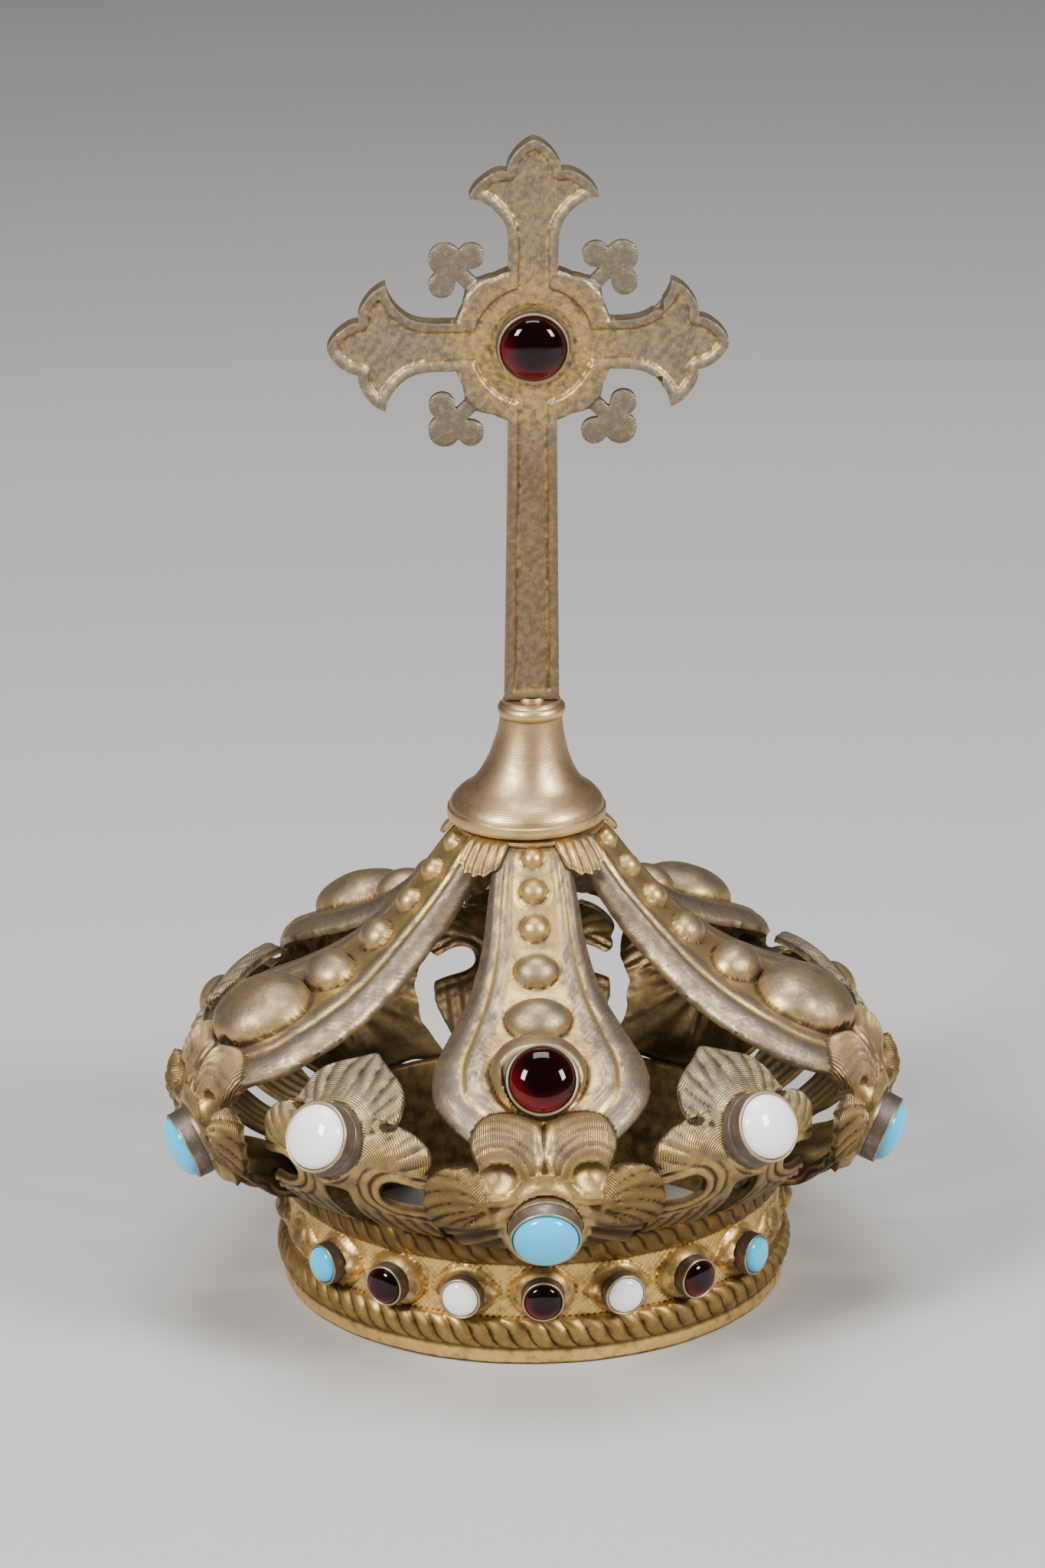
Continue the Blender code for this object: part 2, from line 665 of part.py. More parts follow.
def cupMesh(name, stone, foot, depth, lip, count):
    # collet about a stone: its foot, a waist, the bezel and the recess for the stone
    outer = stone + bezelWall
    back = -depth
    hole = stone + stoneClearance
    profile = [(0, back), (foot, back), (foot, back + 0.35 * depth), (outer, -0.35 * depth),
               (outer, lip), (hole, lip), (hole, -stoneRecess), (0, -stoneRecess)]
    if foot <= outer:
        profile.pop(2)
        profile.pop(2)
    return turned(name, profile, count)


def stoneMesh(name, radius, rise, count):
    profile = [(0, -stoneSink), (radius * 0.97, -stoneSink), (radius, 0.0), (radius * 0.86, rise * 0.5),
               (radius * 0.5, rise * 0.87), (0, rise)]
    return turned(name, profile, count)


def placeOn(obj, r, z, elevation, azimuth, lean=0.0):
    # local +Z turned to the outward axis at a place round the crown
    e = math.radians(elevation)
    face = Matrix.Rotation(math.pi / 2 - e, 4, "X")
    turn = Matrix.Rotation(math.radians(azimuth), 4, "Z")
    obj.location = turn @ Vector((lean * mm, -r * mm, z * mm))
    obj.rotation_euler = (turn @ face).to_euler()


def capMesh(name):
    # leaf collar: a flat middle and five ribbed tips lying over the arches' edges
    angles = [-36, -19, -13, -6.5, 0, 6.5, 13, 19]
    start = domeCoords(Vector((0, -capRadius * girth, capTop - capSheet)))[1]
    upper, lower, upperEnd, lowerEnd = [], [], [], []
    for k in range(5):
        middle = 36 + 72 * k
        for a, t, h in zip(angles, capReach, capRibs):
            b = math.radians(a + middle)
            for z, row in ((capTop, upper), (capTop - capSheet, lower)):
                r = capRadius * girth
                row.append((r * math.sin(b), -r * math.cos(b), z))
            for stand, row in ((seatGap + capSheet + h, upperEnd), (seatGap, lowerEnd)):
                place = onDome(0, start + t, stand + capLift)
                r = math.hypot(place.x, place.y)
                row.append((r * math.sin(b), -r * math.cos(b), min(place.z, capTop)))
    n = len(upper)
    verts = [(0, 0, capTop), *upper, *upperEnd, *lowerEnd, *lower, (0, 0, capTop - capSheet)]
    faces = []
    last = len(verts) - 1
    for k in range(n):
        j = (k + 1) % n
        faces.append((0, 1 + k, 1 + j))
        for row in range(3):
            a = 1 + row * n
            faces.append((a + k, a + n + k, a + n + j, a + j))
        faces.append((last, 1 + 3 * n + j, 1 + 3 * n + k))
    return closedMesh(name, verts, faces)


# Cross


def armPoints(direction, side, reach, half, edge):
    out = []
    for s, w in half:
        out.append((direction[0] * (reach - s) + side[0] * w * edge,
                    direction[1] * (reach - s) + side[1] * w * edge))
    return out


def crossMesh(name):
    # outline in the plane of the cross, about its centre, as (across, up)
    outline = []
    grounds = []
    arms = [((1, 0), crossReach["right"]), ((0, 1), crossReach["up"]), ((-1, 0), crossReach["left"])]
    shaftDrop = crossHeight - shaftFoot
    root = math.sqrt(discRadius ** 2 - armHalf ** 2)

    def corner(angle):
        # trefoil on a diagonal, with the rim's scallops beside its stem
        d = (math.cos(angle), math.sin(angle))
        s = (-d[1], d[0])
        whole = trefoilEdge + [(a, -b) for a, b in reversed(trefoilEdge[:-1])]
        return [(d[0] * a + s[0] * b, d[1] * a + s[1] * b) for a, b in whole]

    # go round counter-clockwise from the right arm's lower root
    for k, (d, reach) in enumerate(arms):
        s = (-d[1], d[0])
        lower = [(root * d[0] - armHalf * s[0], root * d[1] - armHalf * s[1])]
        low = armPoints(d, s, reach, fleurEdge, -1)[::-1]
        tip = [(d[0] * reach, d[1] * reach)]
        high = armPoints(d, s, reach, fleurEdge, 1)
        upper = [(root * d[0] + armHalf * s[0], root * d[1] + armHalf * s[1])]
        outline += lower + low + tip + high + upper
        outline += corner(math.radians(45 + 90 * k))
        inset = armPoints(d, s, reach, fleurGround, 1)
        other = armPoints(d, s, reach, fleurGround, -1)[::-1]
        end = ringOuter + shaftBorder
        w = armGround
        near = [(end * d[0] + w * s[0], end * d[1] + w * s[1]),
                (end * d[0] - w * s[0], end * d[1] - w * s[1])]
        point = [(d[0] * (reach - fleurTip), d[1] * (reach - fleurTip))]
        grounds.append(point + inset + near + other)
    outline += [(-shaftHalfTop, -root), (-shaftHalfFoot, -shaftDrop),
                (shaftHalfFoot, -shaftDrop), (shaftHalfTop, -root)]
    outline += corner(math.radians(-45))
    grounds.append([(-armGround, -end), (-shaftGround, shaftBorder - shaftDrop),
                    (shaftGround, shaftBorder - shaftDrop), (armGround, -end)])

    def stand(x, y):
        # plate at its rim, thin at the trefoils
        onTrefoil = min(abs(x), abs(y)) > armHalf * 1.4 and max(abs(x), abs(y)) < discRadius * 1.6
        away = math.hypot(x, y) > discRadius + trefoilRoot
        return leafPlate if onTrefoil and away else plate

    outline = [(x, y, stand(x, y)) for x, y in outline]
    lines = [([(x, y, ground) for x, y in g], True) for g in grounds]
    lines.append((ring(0, 0, ringOuter, ringOuter, ground, 24), True))
    crest = (ringInner + ringOuter) / 2
    lines.append((ring(0, 0, crest, crest, ground + ringStand, 24, 0.5), True))
    lines.append((ring(0, 0, ringInner, ringInner, ground, 24), True))
    loose = []
    for k in range(4):
        for off in (-22, 22, 0):
            a = math.radians(45 + 90 * k + off)
            loose.append((discGround * math.cos(a), discGround * math.sin(a), ground))
    front, frontFaces = triangulate(outline, lines, loose, 0)
    back, backFaces = triangulate(outline, [], [], 0)
    verts = []
    for x, y, h in front:
        z = crossHeight + y
        verts.append((x + leanAt(z), -h, z))
    shift = len(verts)
    for x, y, h in back:
        z = crossHeight + y
        verts.append((x + leanAt(z), h, z))
    faces = list(frontFaces) + [tuple(shift + i for i in reversed(f)) for f in backFaces]
    frontAt = {(round(p[0], 4), round(p[1], 4)): k for k, p in enumerate(front)}
    backAt = {(round(p[0], 4), round(p[1], 4)): k + shift for k, p in enumerate(back)}
    keys = [(round(p[0], 4), round(p[1], 4)) for p in outline]
    for i in range(len(keys)):
        a, b = keys[i], keys[(i + 1) % len(keys)]
        faces.append((frontAt[a], frontAt[b], backAt[b], backAt[a]))
    return closedMesh(name, verts, faces)


def union(base, other):
    mod = base.modifiers.new("join", "BOOLEAN")
    mod.operation = "UNION"
    mod.solver = "EXACT"
    mod.object = other
    other.hide_render = True
    other.display_type = "WIRE"
    bpy.context.view_layer.update()
    made = bpy.data.meshes.new_from_object(base.evaluated_get(bpy.context.evaluated_depsgraph_get()))
    base.modifiers.clear()
    base.data = made
    bpy.data.objects.remove(other)


for old in list(bpy.data.objects):
    bpy.data.objects.remove(old)

gilt = (0.50, 0.36, 0.19)
dark = (0.26, 0.21, 0.14)
brass = (0.58, 0.43, 0.22)
turquoise = (0.25, 0.58, 0.75)
white = (0.85, 0.87, 0.88)
garnet = (0.12, 0.004, 0.008)

makeObject("circlet", circletMesh("circlet"), brass, 0.4, 1.0)

for place, azimuth in archAngles.items():
    key = f"arch_{place}"
    mesh = archMesh(key, place == "front", place in ("front", "left", "right"))
    obj = makeObject(key, mesh, gilt, 0.42, 1.0)
    obj.rotation_euler.z = math.radians(azimuth)

for place, azimuth in leafAngles.items():
    key = f"palmette_{place}"
    obj = makeObject(key, palmetteMesh(key, place.startswith("front")), gilt, 0.42, 1.0)
    obj.rotation_euler.z = math.radians(azimuth)

makeObject("cap", capMesh("cap"), gilt, 0.42, 1.0)
bore = [(boreRadius, socketTop), (boreRadius, socketTop - boreDepth), (0, socketTop - boreDepth)]
socketLine = [(0, socketFoot), *[(r, socketFoot + z) for r, z in socketProfile], *bore]
makeObject("socket", turned("socket", socketLine, 20, leanAt), brass, 0.35, 1.0)

cross = makeObject("cross", crossMesh("cross"), gilt, 0.45, 1.0)
pegLine = [(0, shaftFoot - pegLength), (pegRadius, shaftFoot - pegLength),
           (pegRadius, shaftFoot + pegJoin), (0, shaftFoot + pegJoin)]
peg = makeObject("peg", turned("peg", pegLine, 12, leanAt), gilt, 0.45, 1.0)
union(cross, peg)

# Settings and stones
garnetPlace, turquoisePlace, whitePlace = (stonePlace(at) for at in (garnetAt, turquoiseAt, whiteAt))
crossStoneStand = ground + seatGap + garnetDepth
large = [("garnet_arch", garnetPlace, 0, garnetDepth, 0.0, garnet),
         ("turquoise_front", turquoisePlace, 0, turquoiseDepth, 0.0, turquoise),
         ("turquoise_left", turquoisePlace, -72, turquoiseDepth, 0.0, turquoise),
         ("turquoise_right", turquoisePlace, 72, turquoiseDepth, 0.0, turquoise),
         ("white_left", whitePlace, -36, whiteDepth, 0.0, white),
         ("white_right", whitePlace, 36, whiteDepth, 0.0, white),
         ("garnet_cross", (crossStoneStand, crossHeight, 0), 0, garnetDepth, leanAt(crossHeight), garnet)]
for key, at, azimuth, depth, lean, color in large:
    foot = largeStone + bezelWall + (collarFoot if depth > deepCollar else 0.0)
    cup = cupMesh(key, largeStone, foot, depth, largeLip, 12)
    setting = makeObject(f"setting_{key}", cup, dark, 0.45, 1.0)
    placeOn(setting, *at, azimuth, lean)
    stone = makeObject(f"stone_{key}", stoneMesh(key, largeStone, largeRise, 12), color, 0.06, 0.0)
    placeOn(stone, *at, azimuth, lean)

small = {-3: ("turquoise_small_left", turquoise), -2: ("garnet_small_left", garnet),
         -1: ("white_small_left", white), 0: ("garnet_small_middle", garnet),
         1: ("white_small_right", white), 2: ("garnet_small_right", garnet),
         3: ("turquoise_small_right", turquoise)}
for index, (key, color) in small.items():
    at = (motifSeat + seatGap + smallDepth, motifHeight, 0)
    azimuth = index * 360 / motifs
    foot = smallStone + bezelWall
    cup = cupMesh(key, smallStone, foot, smallDepth, smallLip, 8)
    setting = makeObject(f"setting_{key}", cup, dark, 0.45, 1.0)
    placeOn(setting, *at, azimuth)
    stone = makeObject(f"stone_{key}", stoneMesh(key, smallStone, smallRise, 8), color, 0.06, 0.0)
    placeOn(stone, *at, azimuth)

for obj in bpy.data.objects:
    obj.location.y += axisBack * mm
    obj.data.shade_smooth()
    obj.data.set_sharp_from_angle(angle=math.radians(32))
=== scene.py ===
import math
import bpy
import numpy as np
from mathutils import Matrix, Vector


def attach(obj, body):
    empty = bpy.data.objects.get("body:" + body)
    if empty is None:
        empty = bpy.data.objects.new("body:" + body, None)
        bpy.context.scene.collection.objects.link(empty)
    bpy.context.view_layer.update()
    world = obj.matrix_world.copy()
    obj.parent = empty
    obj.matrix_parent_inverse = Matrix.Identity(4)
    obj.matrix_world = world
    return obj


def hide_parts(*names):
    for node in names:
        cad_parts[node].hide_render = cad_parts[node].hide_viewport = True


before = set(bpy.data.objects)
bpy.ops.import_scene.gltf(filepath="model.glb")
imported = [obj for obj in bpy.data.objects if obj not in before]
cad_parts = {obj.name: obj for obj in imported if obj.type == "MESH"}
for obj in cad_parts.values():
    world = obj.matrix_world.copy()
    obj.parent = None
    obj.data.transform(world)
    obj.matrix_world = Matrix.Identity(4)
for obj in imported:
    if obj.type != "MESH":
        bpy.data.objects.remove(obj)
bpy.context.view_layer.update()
print("frame loaded")

# All sizes below are in millimetres until a mesh is written. Places on the dome are
# given as across and along: the distance round from a piece's middle, and the
# distance down the dome's profile from its top. The crown's own axis stands a little
# behind the middle of its box, which is the frame's origin.
axisBack = np.array([0, 3.66, 0])

domeLine = np.array([
    (12.2, 90.9), (13.9, 90.4), (15.9, 88.5), (18.9, 84.6), (23.6, 79.1), (29.4, 73.45),
    (37.6, 67.3), (46.0, 63.3), (54.2, 60.1), (60.2, 56.4), (64.4, 51.6), (66.8, 46.4),
    (67.3, 41.0), (65.7, 36.2), (62.2, 32.3), (57.6, 29.2), (53.0, 27.2), (48.2, 26.2),
    (46.6, 25.95)])


def makeSpline(points):
    # chord lengths as stations, and the second slopes of a natural cubic through the points
    steps = np.hypot(*np.diff(points, axis=0).T)
    count = len(points)
    left = np.eye(count)
    right = np.zeros((count, 2))
    for i in range(1, count - 1):
        a, b = steps[i - 1], steps[i]
        left[i, i - 1:i + 2] = [a, 2 * (a + b), b]
        right[i] = 6 * ((points[i + 1] - points[i]) / b - (points[i] - points[i - 1]) / a)
    return np.concatenate([[0], np.cumsum(steps)]), steps, np.linalg.solve(left, right)


domeStations, domeSteps, domeBends = makeSpline(domeLine)
domeStations = domeStations + 35.4 - domeStations[6]


def domeAt(along):
    # natural cubic through the profile points; returns radius, height and normal
    i = np.clip(np.searchsorted(domeStations, along) - 1, 0, len(domeLine) - 2)
    h = domeSteps[i]
    a = ((domeStations[i + 1] - along) / h)[..., None]
    b = ((along - domeStations[i]) / h)[..., None]
    h = h[..., None]
    p0, p1, m0, m1 = domeLine[i], domeLine[i + 1], domeBends[i], domeBends[i + 1]
    point = a * p0 + b * p1 + ((a ** 3 - a) * m0 + (b ** 3 - b) * m1) * h * h / 6
    slope = (p1 - p0) / h + ((1 - 3 * a * a) * m0 + (3 * b * b - 1) * m1) * h / 6
    length = np.hypot(slope[..., 0], slope[..., 1])
    return point[..., 0], point[..., 1], -slope[..., 1] / length, slope[..., 0] / length


def onDome(across, along, stand):
    # the profile's point moved out along its normal, then turned by across over its radius
    r0, z0, nr, nz = domeAt(along)
    r = r0 + stand * nr
    angle = across / r0
    return np.stack([r * np.sin(angle), -r * np.cos(angle), z0 + stand * nz], -1)


def turnAbout(points, degrees):
    # points turned about the upright axis
    a = math.radians(degrees)
    x = points[..., 0] * math.cos(a) - points[..., 1] * math.sin(a)
    y = points[..., 0] * math.sin(a) + points[..., 1] * math.cos(a)
    return np.stack([x, y, points[..., 2]], -1)


def ease(low, high, x):
    # smooth step: three squares less two cubes of the share of the way from low to high
    s = np.clip((x - low) / (high - low), 0, 1)
    return s * s * (3 - 2 * s)


def hump(x, middle, width):
    # bell curve: e to the minus square of the distance from the middle over the width
    return np.exp(-((x - middle) / width) ** 2)


def table(x, stations, values):
    # straight lines between the values at the stations
    return np.interp(x, stations, values)


def wavyNoise(x, y, seed, scale):
    # sum of turned sine waves, smooth and repeatable
    rng = np.random.default_rng(seed)
    total = np.zeros_like(x)
    for k in range(7):
        a = rng.uniform(0, 2 * math.pi)
        f = 2 * math.pi / (scale * rng.uniform(0.6, 1.8))
        total += np.sin((x * math.cos(a) + y * math.sin(a)) * f + rng.uniform(0, 6.28))
    return total / 3.5


def smoothLine(points, count=5, closed=False):
    # Catmull-Rom through the points; a doubled point keeps a sharp corner
    p = np.array(points, float)
    n = len(p)
    out = []
    spans = range(n) if closed else range(n - 1)
    for i in spans:
        a = p[(i - 1) % n] if closed or i else p[0]
        b, c = p[i], p[(i + 1) % n]
        d = p[(i + 2) % n] if closed or i + 2 < n else p[-1]
        if np.allclose(b, c):
            continue
        if np.allclose(a, b):
            a = b - (c - b) * 0.5
        if np.allclose(c, d):
            d = c + (c - b) * 0.5
        s = (np.arange(count) / count)[:, None]
        out.append(0.5 * (2 * b + (c - a) * s + (2 * a - 5 * b + 4 * c - d) * s * s
                          + (3 * b - a - 3 * c + d) * s ** 3))
    if not closed:
        out.append(p[-1:])
    return np.concatenate(out)


def nearest(points, path, closed=False):
    # distance from each point to a path, and the nearest place on it
    a = path
    b = np.roll(path, -1, 0)
    if not closed:
        a, b = a[:-1], b[:-1]
    best = np.full(len(points), 1e9)
    where = np.zeros((len(points), 2))
    for start in range(0, len(points), 4000):
        p = points[start:start + 4000, None, :]
        d = b - a
        s = np.clip(((p - a) * d).sum(-1) / np.maximum((d * d).sum(-1), 1e-12), 0, 1)
        q = a + d * s[..., None]
        gap = np.hypot(*(p - q).transpose(2, 0, 1))
        k = gap.argmin(1)
        rows = np.arange(len(k))
        best[start:start + 4000] = gap[rows, k]
        where[start:start + 4000] = q[rows, k]
    return best, where


def insideLoop(points, loop):
    # inside where a ray toward greater x crosses the loop an odd number of times
    a, b = loop, np.roll(loop, -1, 0)
    hit = np.zeros(len(points), bool)
    x, y = points[:, 0], points[:, 1]
    for (x0, y0), (x1, y1) in zip(a, b):
        if y0 == y1:
            continue
        hit ^= ((y0 > y) != (y1 > y)) & (x < (x1 - x0) * (y - y0) / (y1 - y0) + x0)
    return hit


def sidesOf(quads):
    # the four sides of every quad, each as two vertex numbers
    return np.concatenate([quads[:, [0, 1]], quads[:, [1, 2]], quads[:, [2, 3]], quads[:, [3, 0]]])


def trimmedGrid(loop, size):
    # square grid kept inside a loop, its border vertices moved onto the loop;
    # returns flat points, quads and the border edges in order of direction
    low, high = loop.min(0) - size, loop.max(0) + size
    nx = int((high[0] - low[0]) / size) + 2
    ny = int((high[1] - low[1]) / size) + 2
    xs = low[0] + size * np.arange(nx)
    ys = low[1] + size * np.arange(ny)
    gx, gy = np.meshgrid(xs, ys)
    flat = np.stack([gx.ravel(), gy.ravel()], -1)
    centres = np.stack([(gx[:-1, :-1] + size / 2).ravel(), (gy[:-1, :-1] + size / 2).ravel()], -1)
    keep = insideLoop(centres, loop).reshape(ny - 1, nx - 1)
    # drop cells held by a corner only
    for _ in range(2):
        pad = np.pad(keep, 1)
        sides = pad[1:-1, :-2].astype(int) + pad[1:-1, 2:] + pad[:-2, 1:-1] + pad[2:, 1:-1]
        keep &= sides > 1
    index = np.arange(nx * ny).reshape(ny, nx)
    q = np.stack([index[:-1, :-1], index[:-1, 1:], index[1:, 1:], index[1:, :-1]], -1)[keep]
    edges = sidesOf(q)
    code = edges[:, 0] * (nx * ny) + edges[:, 1]
    back = edges[:, 1] * (nx * ny) + edges[:, 0]
    border = edges[~np.isin(code, back)]
    used = np.unique(q)
    remap = np.full(nx * ny, -1)
    remap[used] = np.arange(len(used))
    flat = flat[used]
    q = remap[q]
    border = remap[border]
    rim = np.unique(border)
    flat[rim] = nearest(flat[rim], loop, True)[1]
    # ease the first rows inside toward even spacing
    links = sidesOf(q)
    fixed = np.zeros(len(flat), bool)
    fixed[rim] = True
    near = np.zeros(len(flat), bool)
    near[links[fixed[links[:, 0]], 1]] = True
    near[links[fixed[links[:, 1]], 0]] = True
    near &= ~fixed
    for _ in range(3):
        total = np.zeros_like(flat)
        weight = np.zeros(len(flat))
        np.add.at(total, links[:, 0], flat[links[:, 1]])
        np.add.at(total, links[:, 1], flat[links[:, 0]])
        np.add.at(weight, links[:, 0], 1)
        np.add.at(weight, links[:, 1], 1)
        flat[near] = (total / weight[:, None])[near]
    return flat, q, border


def blurred(height, quads, rounds):
    # height averaged with its neighbours again and again
    links = sidesOf(quads)
    count = len(height)
    weight = np.bincount(links[:, 0], minlength=count) + np.bincount(links[:, 1], minlength=count)
    level = height.astype(float)
    for _ in range(rounds):
        total = np.bincount(links[:, 0], level[links[:, 1]], count)
        total += np.bincount(links[:, 1], level[links[:, 0]], count)
        level = total / np.maximum(weight, 1)
    return level


def cavityOf(height, quads, size):
    # how far each place lies under its surroundings, near by and farther off
    near = blurred(height, quads, int(round((0.9 / size) ** 2)) + 1) - height
    wide = blurred(height, quads, int(round((2.2 / size) ** 2)) + 1) - height
    return near / 0.16 + wide / 0.9


def writeMesh(name, verts, quads, values):
    # millimetres to metres, the crown's axis moved behind the origin, one value a vertex
    mesh = bpy.data.meshes.new(name)
    mesh.vertices.add(len(verts))
    mesh.vertices.foreach_set("co", ((verts + axisBack) * 0.001).astype(np.float32).ravel())
    mesh.loops.add(quads.size)
    mesh.loops.foreach_set("vertex_index", quads.ravel().astype(np.int32))
    mesh.polygons.add(len(quads))
    size = quads.shape[1]
    mesh.polygons.foreach_set("loop_start", np.arange(0, quads.size, size, dtype=np.int32))
    mesh.update(calc_edges=True)
    mesh.validate()
    for key, value in values.items():
        layer = mesh.attributes.new(key, "FLOAT", "POINT")
        if len(value) == len(mesh.vertices):
            layer.data.foreach_set("value", value.astype(np.float32))
    mesh.shade_smooth()
    return mesh


def sheetFaces(quads, border, count):
    # outer face, inner face turned over, and the wall between
    wall = np.stack([border[:, 1], border[:, 0], border[:, 0] + count, border[:, 1] + count], -1)
    return np.concatenate([quads, quads[:, ::-1] + count, wall])


def addPiece(name, mesh, material, nodes):
    # one object at the origin that stands for its nodes in the frame
    piece = bpy.data.objects.new(name, mesh)
    bpy.context.scene.collection.objects.link(piece)
    mesh.materials.append(material)
    mesh.set_sharp_from_angle(angle=math.radians(48))
    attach(piece, "root")
    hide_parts(*nodes)
    return piece


# Materials


def makeNodes(material):
    material.use_nodes = True
    nodes = material.node_tree.nodes
    return nodes, material.node_tree.links, nodes["Principled BSDF"]


def mathNode(nodes, links, kind, a, b=None, c=None):
    node = nodes.new("ShaderNodeMath")
    node.operation = kind
    for slot, value in zip(node.inputs, (a, b, c)):
        if value is None:
            continue
        if isinstance(value, (int, float)):
            slot.default_value = value
        else:
            links.new(value, slot)
    return node.outputs[0]


def mixNode(nodes, links, share, a, b):
    node = nodes.new("ShaderNodeMix")
    node.data_type = "RGBA"
    for slot, value in ((node.inputs[0], share), (node.inputs[6], a), (node.inputs[7], b)):
        if isinstance(value, tuple):
            slot.default_value = (*value, 1)
        elif isinstance(value, (int, float)):
            slot.default_value = value
        else:
            links.new(value, slot)
    return node.outputs[2]


def noiseNode(nodes, links, vector, scale, detail=4, rough=0.55):
    node = nodes.new("ShaderNodeTexNoise")
    node.inputs["Scale"].default_value = scale
    node.inputs["Detail"].default_value = detail
    node.inputs["Roughness"].default_value = rough
    links.new(vector, node.inputs["Vector"])
    return node.outputs["Fac"]


def rampNode(nodes, links, value, low, high):
    node = nodes.new("ShaderNodeMapRange")
    node.interpolation_type = "SMOOTHSTEP"
    node.inputs["From Min"].default_value = low
    node.inputs["From Max"].default_value = high
    links.new(value, node.inputs["Value"])
    return node.outputs["Result"]


def makeAgeGroup():
    # aged gilding: outputs a colour, a roughness and a bumped normal
    group = bpy.data.node_groups.new("agedGilding", "ShaderNodeTree")
    face = group.interface
    for key, kind, value in (("Gold", "NodeSocketColor", (0.70, 0.50, 0.25, 1)),
                             ("Tan", "NodeSocketColor", (0.50, 0.38, 0.24, 1)),
                             ("Tarnish", "NodeSocketColor", (0.25, 0.20, 0.17, 1)),
                             ("Raised", "NodeSocketFloat", 0.0),
                             ("Recess", "NodeSocketFloat", 0.0),
                             ("Cavity", "NodeSocketFloat", 0.0),
                             ("Shade", "NodeSocketFloat", 0.0),
                             ("Mottle", "NodeSocketFloat", 1.0),
                             ("Dirt", "NodeSocketFloat", 0.5),
                             ("Grain", "NodeSocketFloat", 0.2),
                             ("Hatch", "NodeSocketFloat", 0.0)):
        slot = face.new_socket(name=key, in_out="INPUT", socket_type=kind)
        slot.default_value = value
    for key, kind in (("Color", "NodeSocketColor"), ("Roughness", "NodeSocketFloat"),
                      ("Normal", "NodeSocketVector")):
        face.new_socket(name=key, in_out="OUTPUT", socket_type=kind)
    nodes, links = group.nodes, group.links
    start = nodes.new("NodeGroupInput")
    end = nodes.new("NodeGroupOutput")
    place = nodes.new("ShaderNodeTexCoord").outputs["Object"]
    spread = nodes.new("ShaderNodeVectorMath")
    spread.operation = "SCALE"
    links.new(place, spread.inputs[0])
    links.new(start.outputs["Mottle"], spread.inputs["Scale"])
    broad = noiseNode(nodes, links, place, 38, 3)
    middle = noiseNode(nodes, links, spread.outputs["Vector"], 160, 5, 0.6)
    fine = noiseNode(nodes, links, place, 900, 4, 0.6)
    speck = noiseNode(nodes, links, place, 2600, 2, 0.6)
    # gold keeps in hollows, tan on flats, grey-brown tarnish on what stands proud
    patch = rampNode(nodes, links, mathNode(nodes, links, "ADD", middle, mathNode(
        nodes, links, "MULTIPLY", start.outputs["Raised"], 0.26)), 0.44, 0.82)
    hollow = mathNode(nodes, links, "ADD", start.outputs["Recess"], mathNode(
        nodes, links, "MULTIPLY", broad, 0.35))
    hollow = rampNode(nodes, links, hollow, 0.22, 0.85)
    base = mixNode(nodes, links, hollow, start.outputs["Tan"], start.outputs["Gold"])
    tarnish = mathNode(nodes, links, "MULTIPLY", patch, start.outputs["Dirt"])
    tarnish = mathNode(nodes, links, "MINIMUM", tarnish, 1.0)
    base = mixNode(nodes, links, tarnish, base, start.outputs["Tarnish"])
    spots = rampNode(nodes, links, fine, 0.60, 0.74)
    spots = mathNode(nodes, links, "MULTIPLY", spots, mathNode(
        nodes, links, "MULTIPLY", start.outputs["Dirt"], 0.45))
    base = mixNode(nodes, links, spots, base, start.outputs["Tarnish"])
    # painted shade: darker, deeper gold where the crown turns under, away from the lamps above
    under = mathNode(nodes, links, "MULTIPLY", start.outputs["Shade"], 0.62)
    base = mixNode(nodes, links, under, base, (0.15, 0.085, 0.025))
    # dark dirt in the crevices and painted shade where the cavity value marks shadow; rubbed metal along
    # the crests, less under painted shade
    uneven = mathNode(nodes, links, "MULTIPLY_ADD", middle, 0.9, -0.45)
    uneven = mathNode(nodes, links, "ADD", start.outputs["Cavity"], uneven)
    grimeAndShade = mathNode(nodes, links, "MULTIPLY", rampNode(nodes, links, uneven, 0.15, 1.9), 0.82)
    rubbed = mathNode(nodes, links, "MULTIPLY", start.outputs["Cavity"], -1.0)
    rubbed = mathNode(nodes, links, "MULTIPLY", rampNode(nodes, links, rubbed, 0.25, 1.4), mathNode(
        nodes, links, "MULTIPLY_ADD", start.outputs["Shade"], -0.28, 0.45))
    base = mixNode(nodes, links, rubbed, base, start.outputs["Gold"])
    base = mixNode(nodes, links, grimeAndShade, base, (0.045, 0.027, 0.013))
    links.new(base, end.inputs["Color"])
    rough = mathNode(nodes, links, "MULTIPLY_ADD", tarnish, 0.16, 0.33)
    rough = mathNode(nodes, links, "MULTIPLY_ADD", grimeAndShade, 0.20, rough)
    rough = mathNode(nodes, links, "MULTIPLY_ADD", fine, 0.14, rough)
    links.new(rough, end.inputs["Roughness"])
    # grain: fine file marks and pits; hatch: the graver's lines handed in as a height
    grain = mathNode(nodes, links, "ADD", fine, mathNode(nodes, links, "MULTIPLY", speck, 0.4))
    grain = mathNode(nodes, links, "MULTIPLY", grain, start.outputs["Grain"])
    lines = mathNode(nodes, links, "ADD", grain, start.outputs["Hatch"])
    bump = nodes.new("ShaderNodeBump")
    bump.inputs["Strength"].default_value = 0.75
    bump.inputs["Distance"].default_value = 0.00022
    links.new(lines, bump.inputs["Height"])
    links.new(bump.outputs["Normal"], end.inputs["Normal"])
    return group


ageGroup = makeAgeGroup()


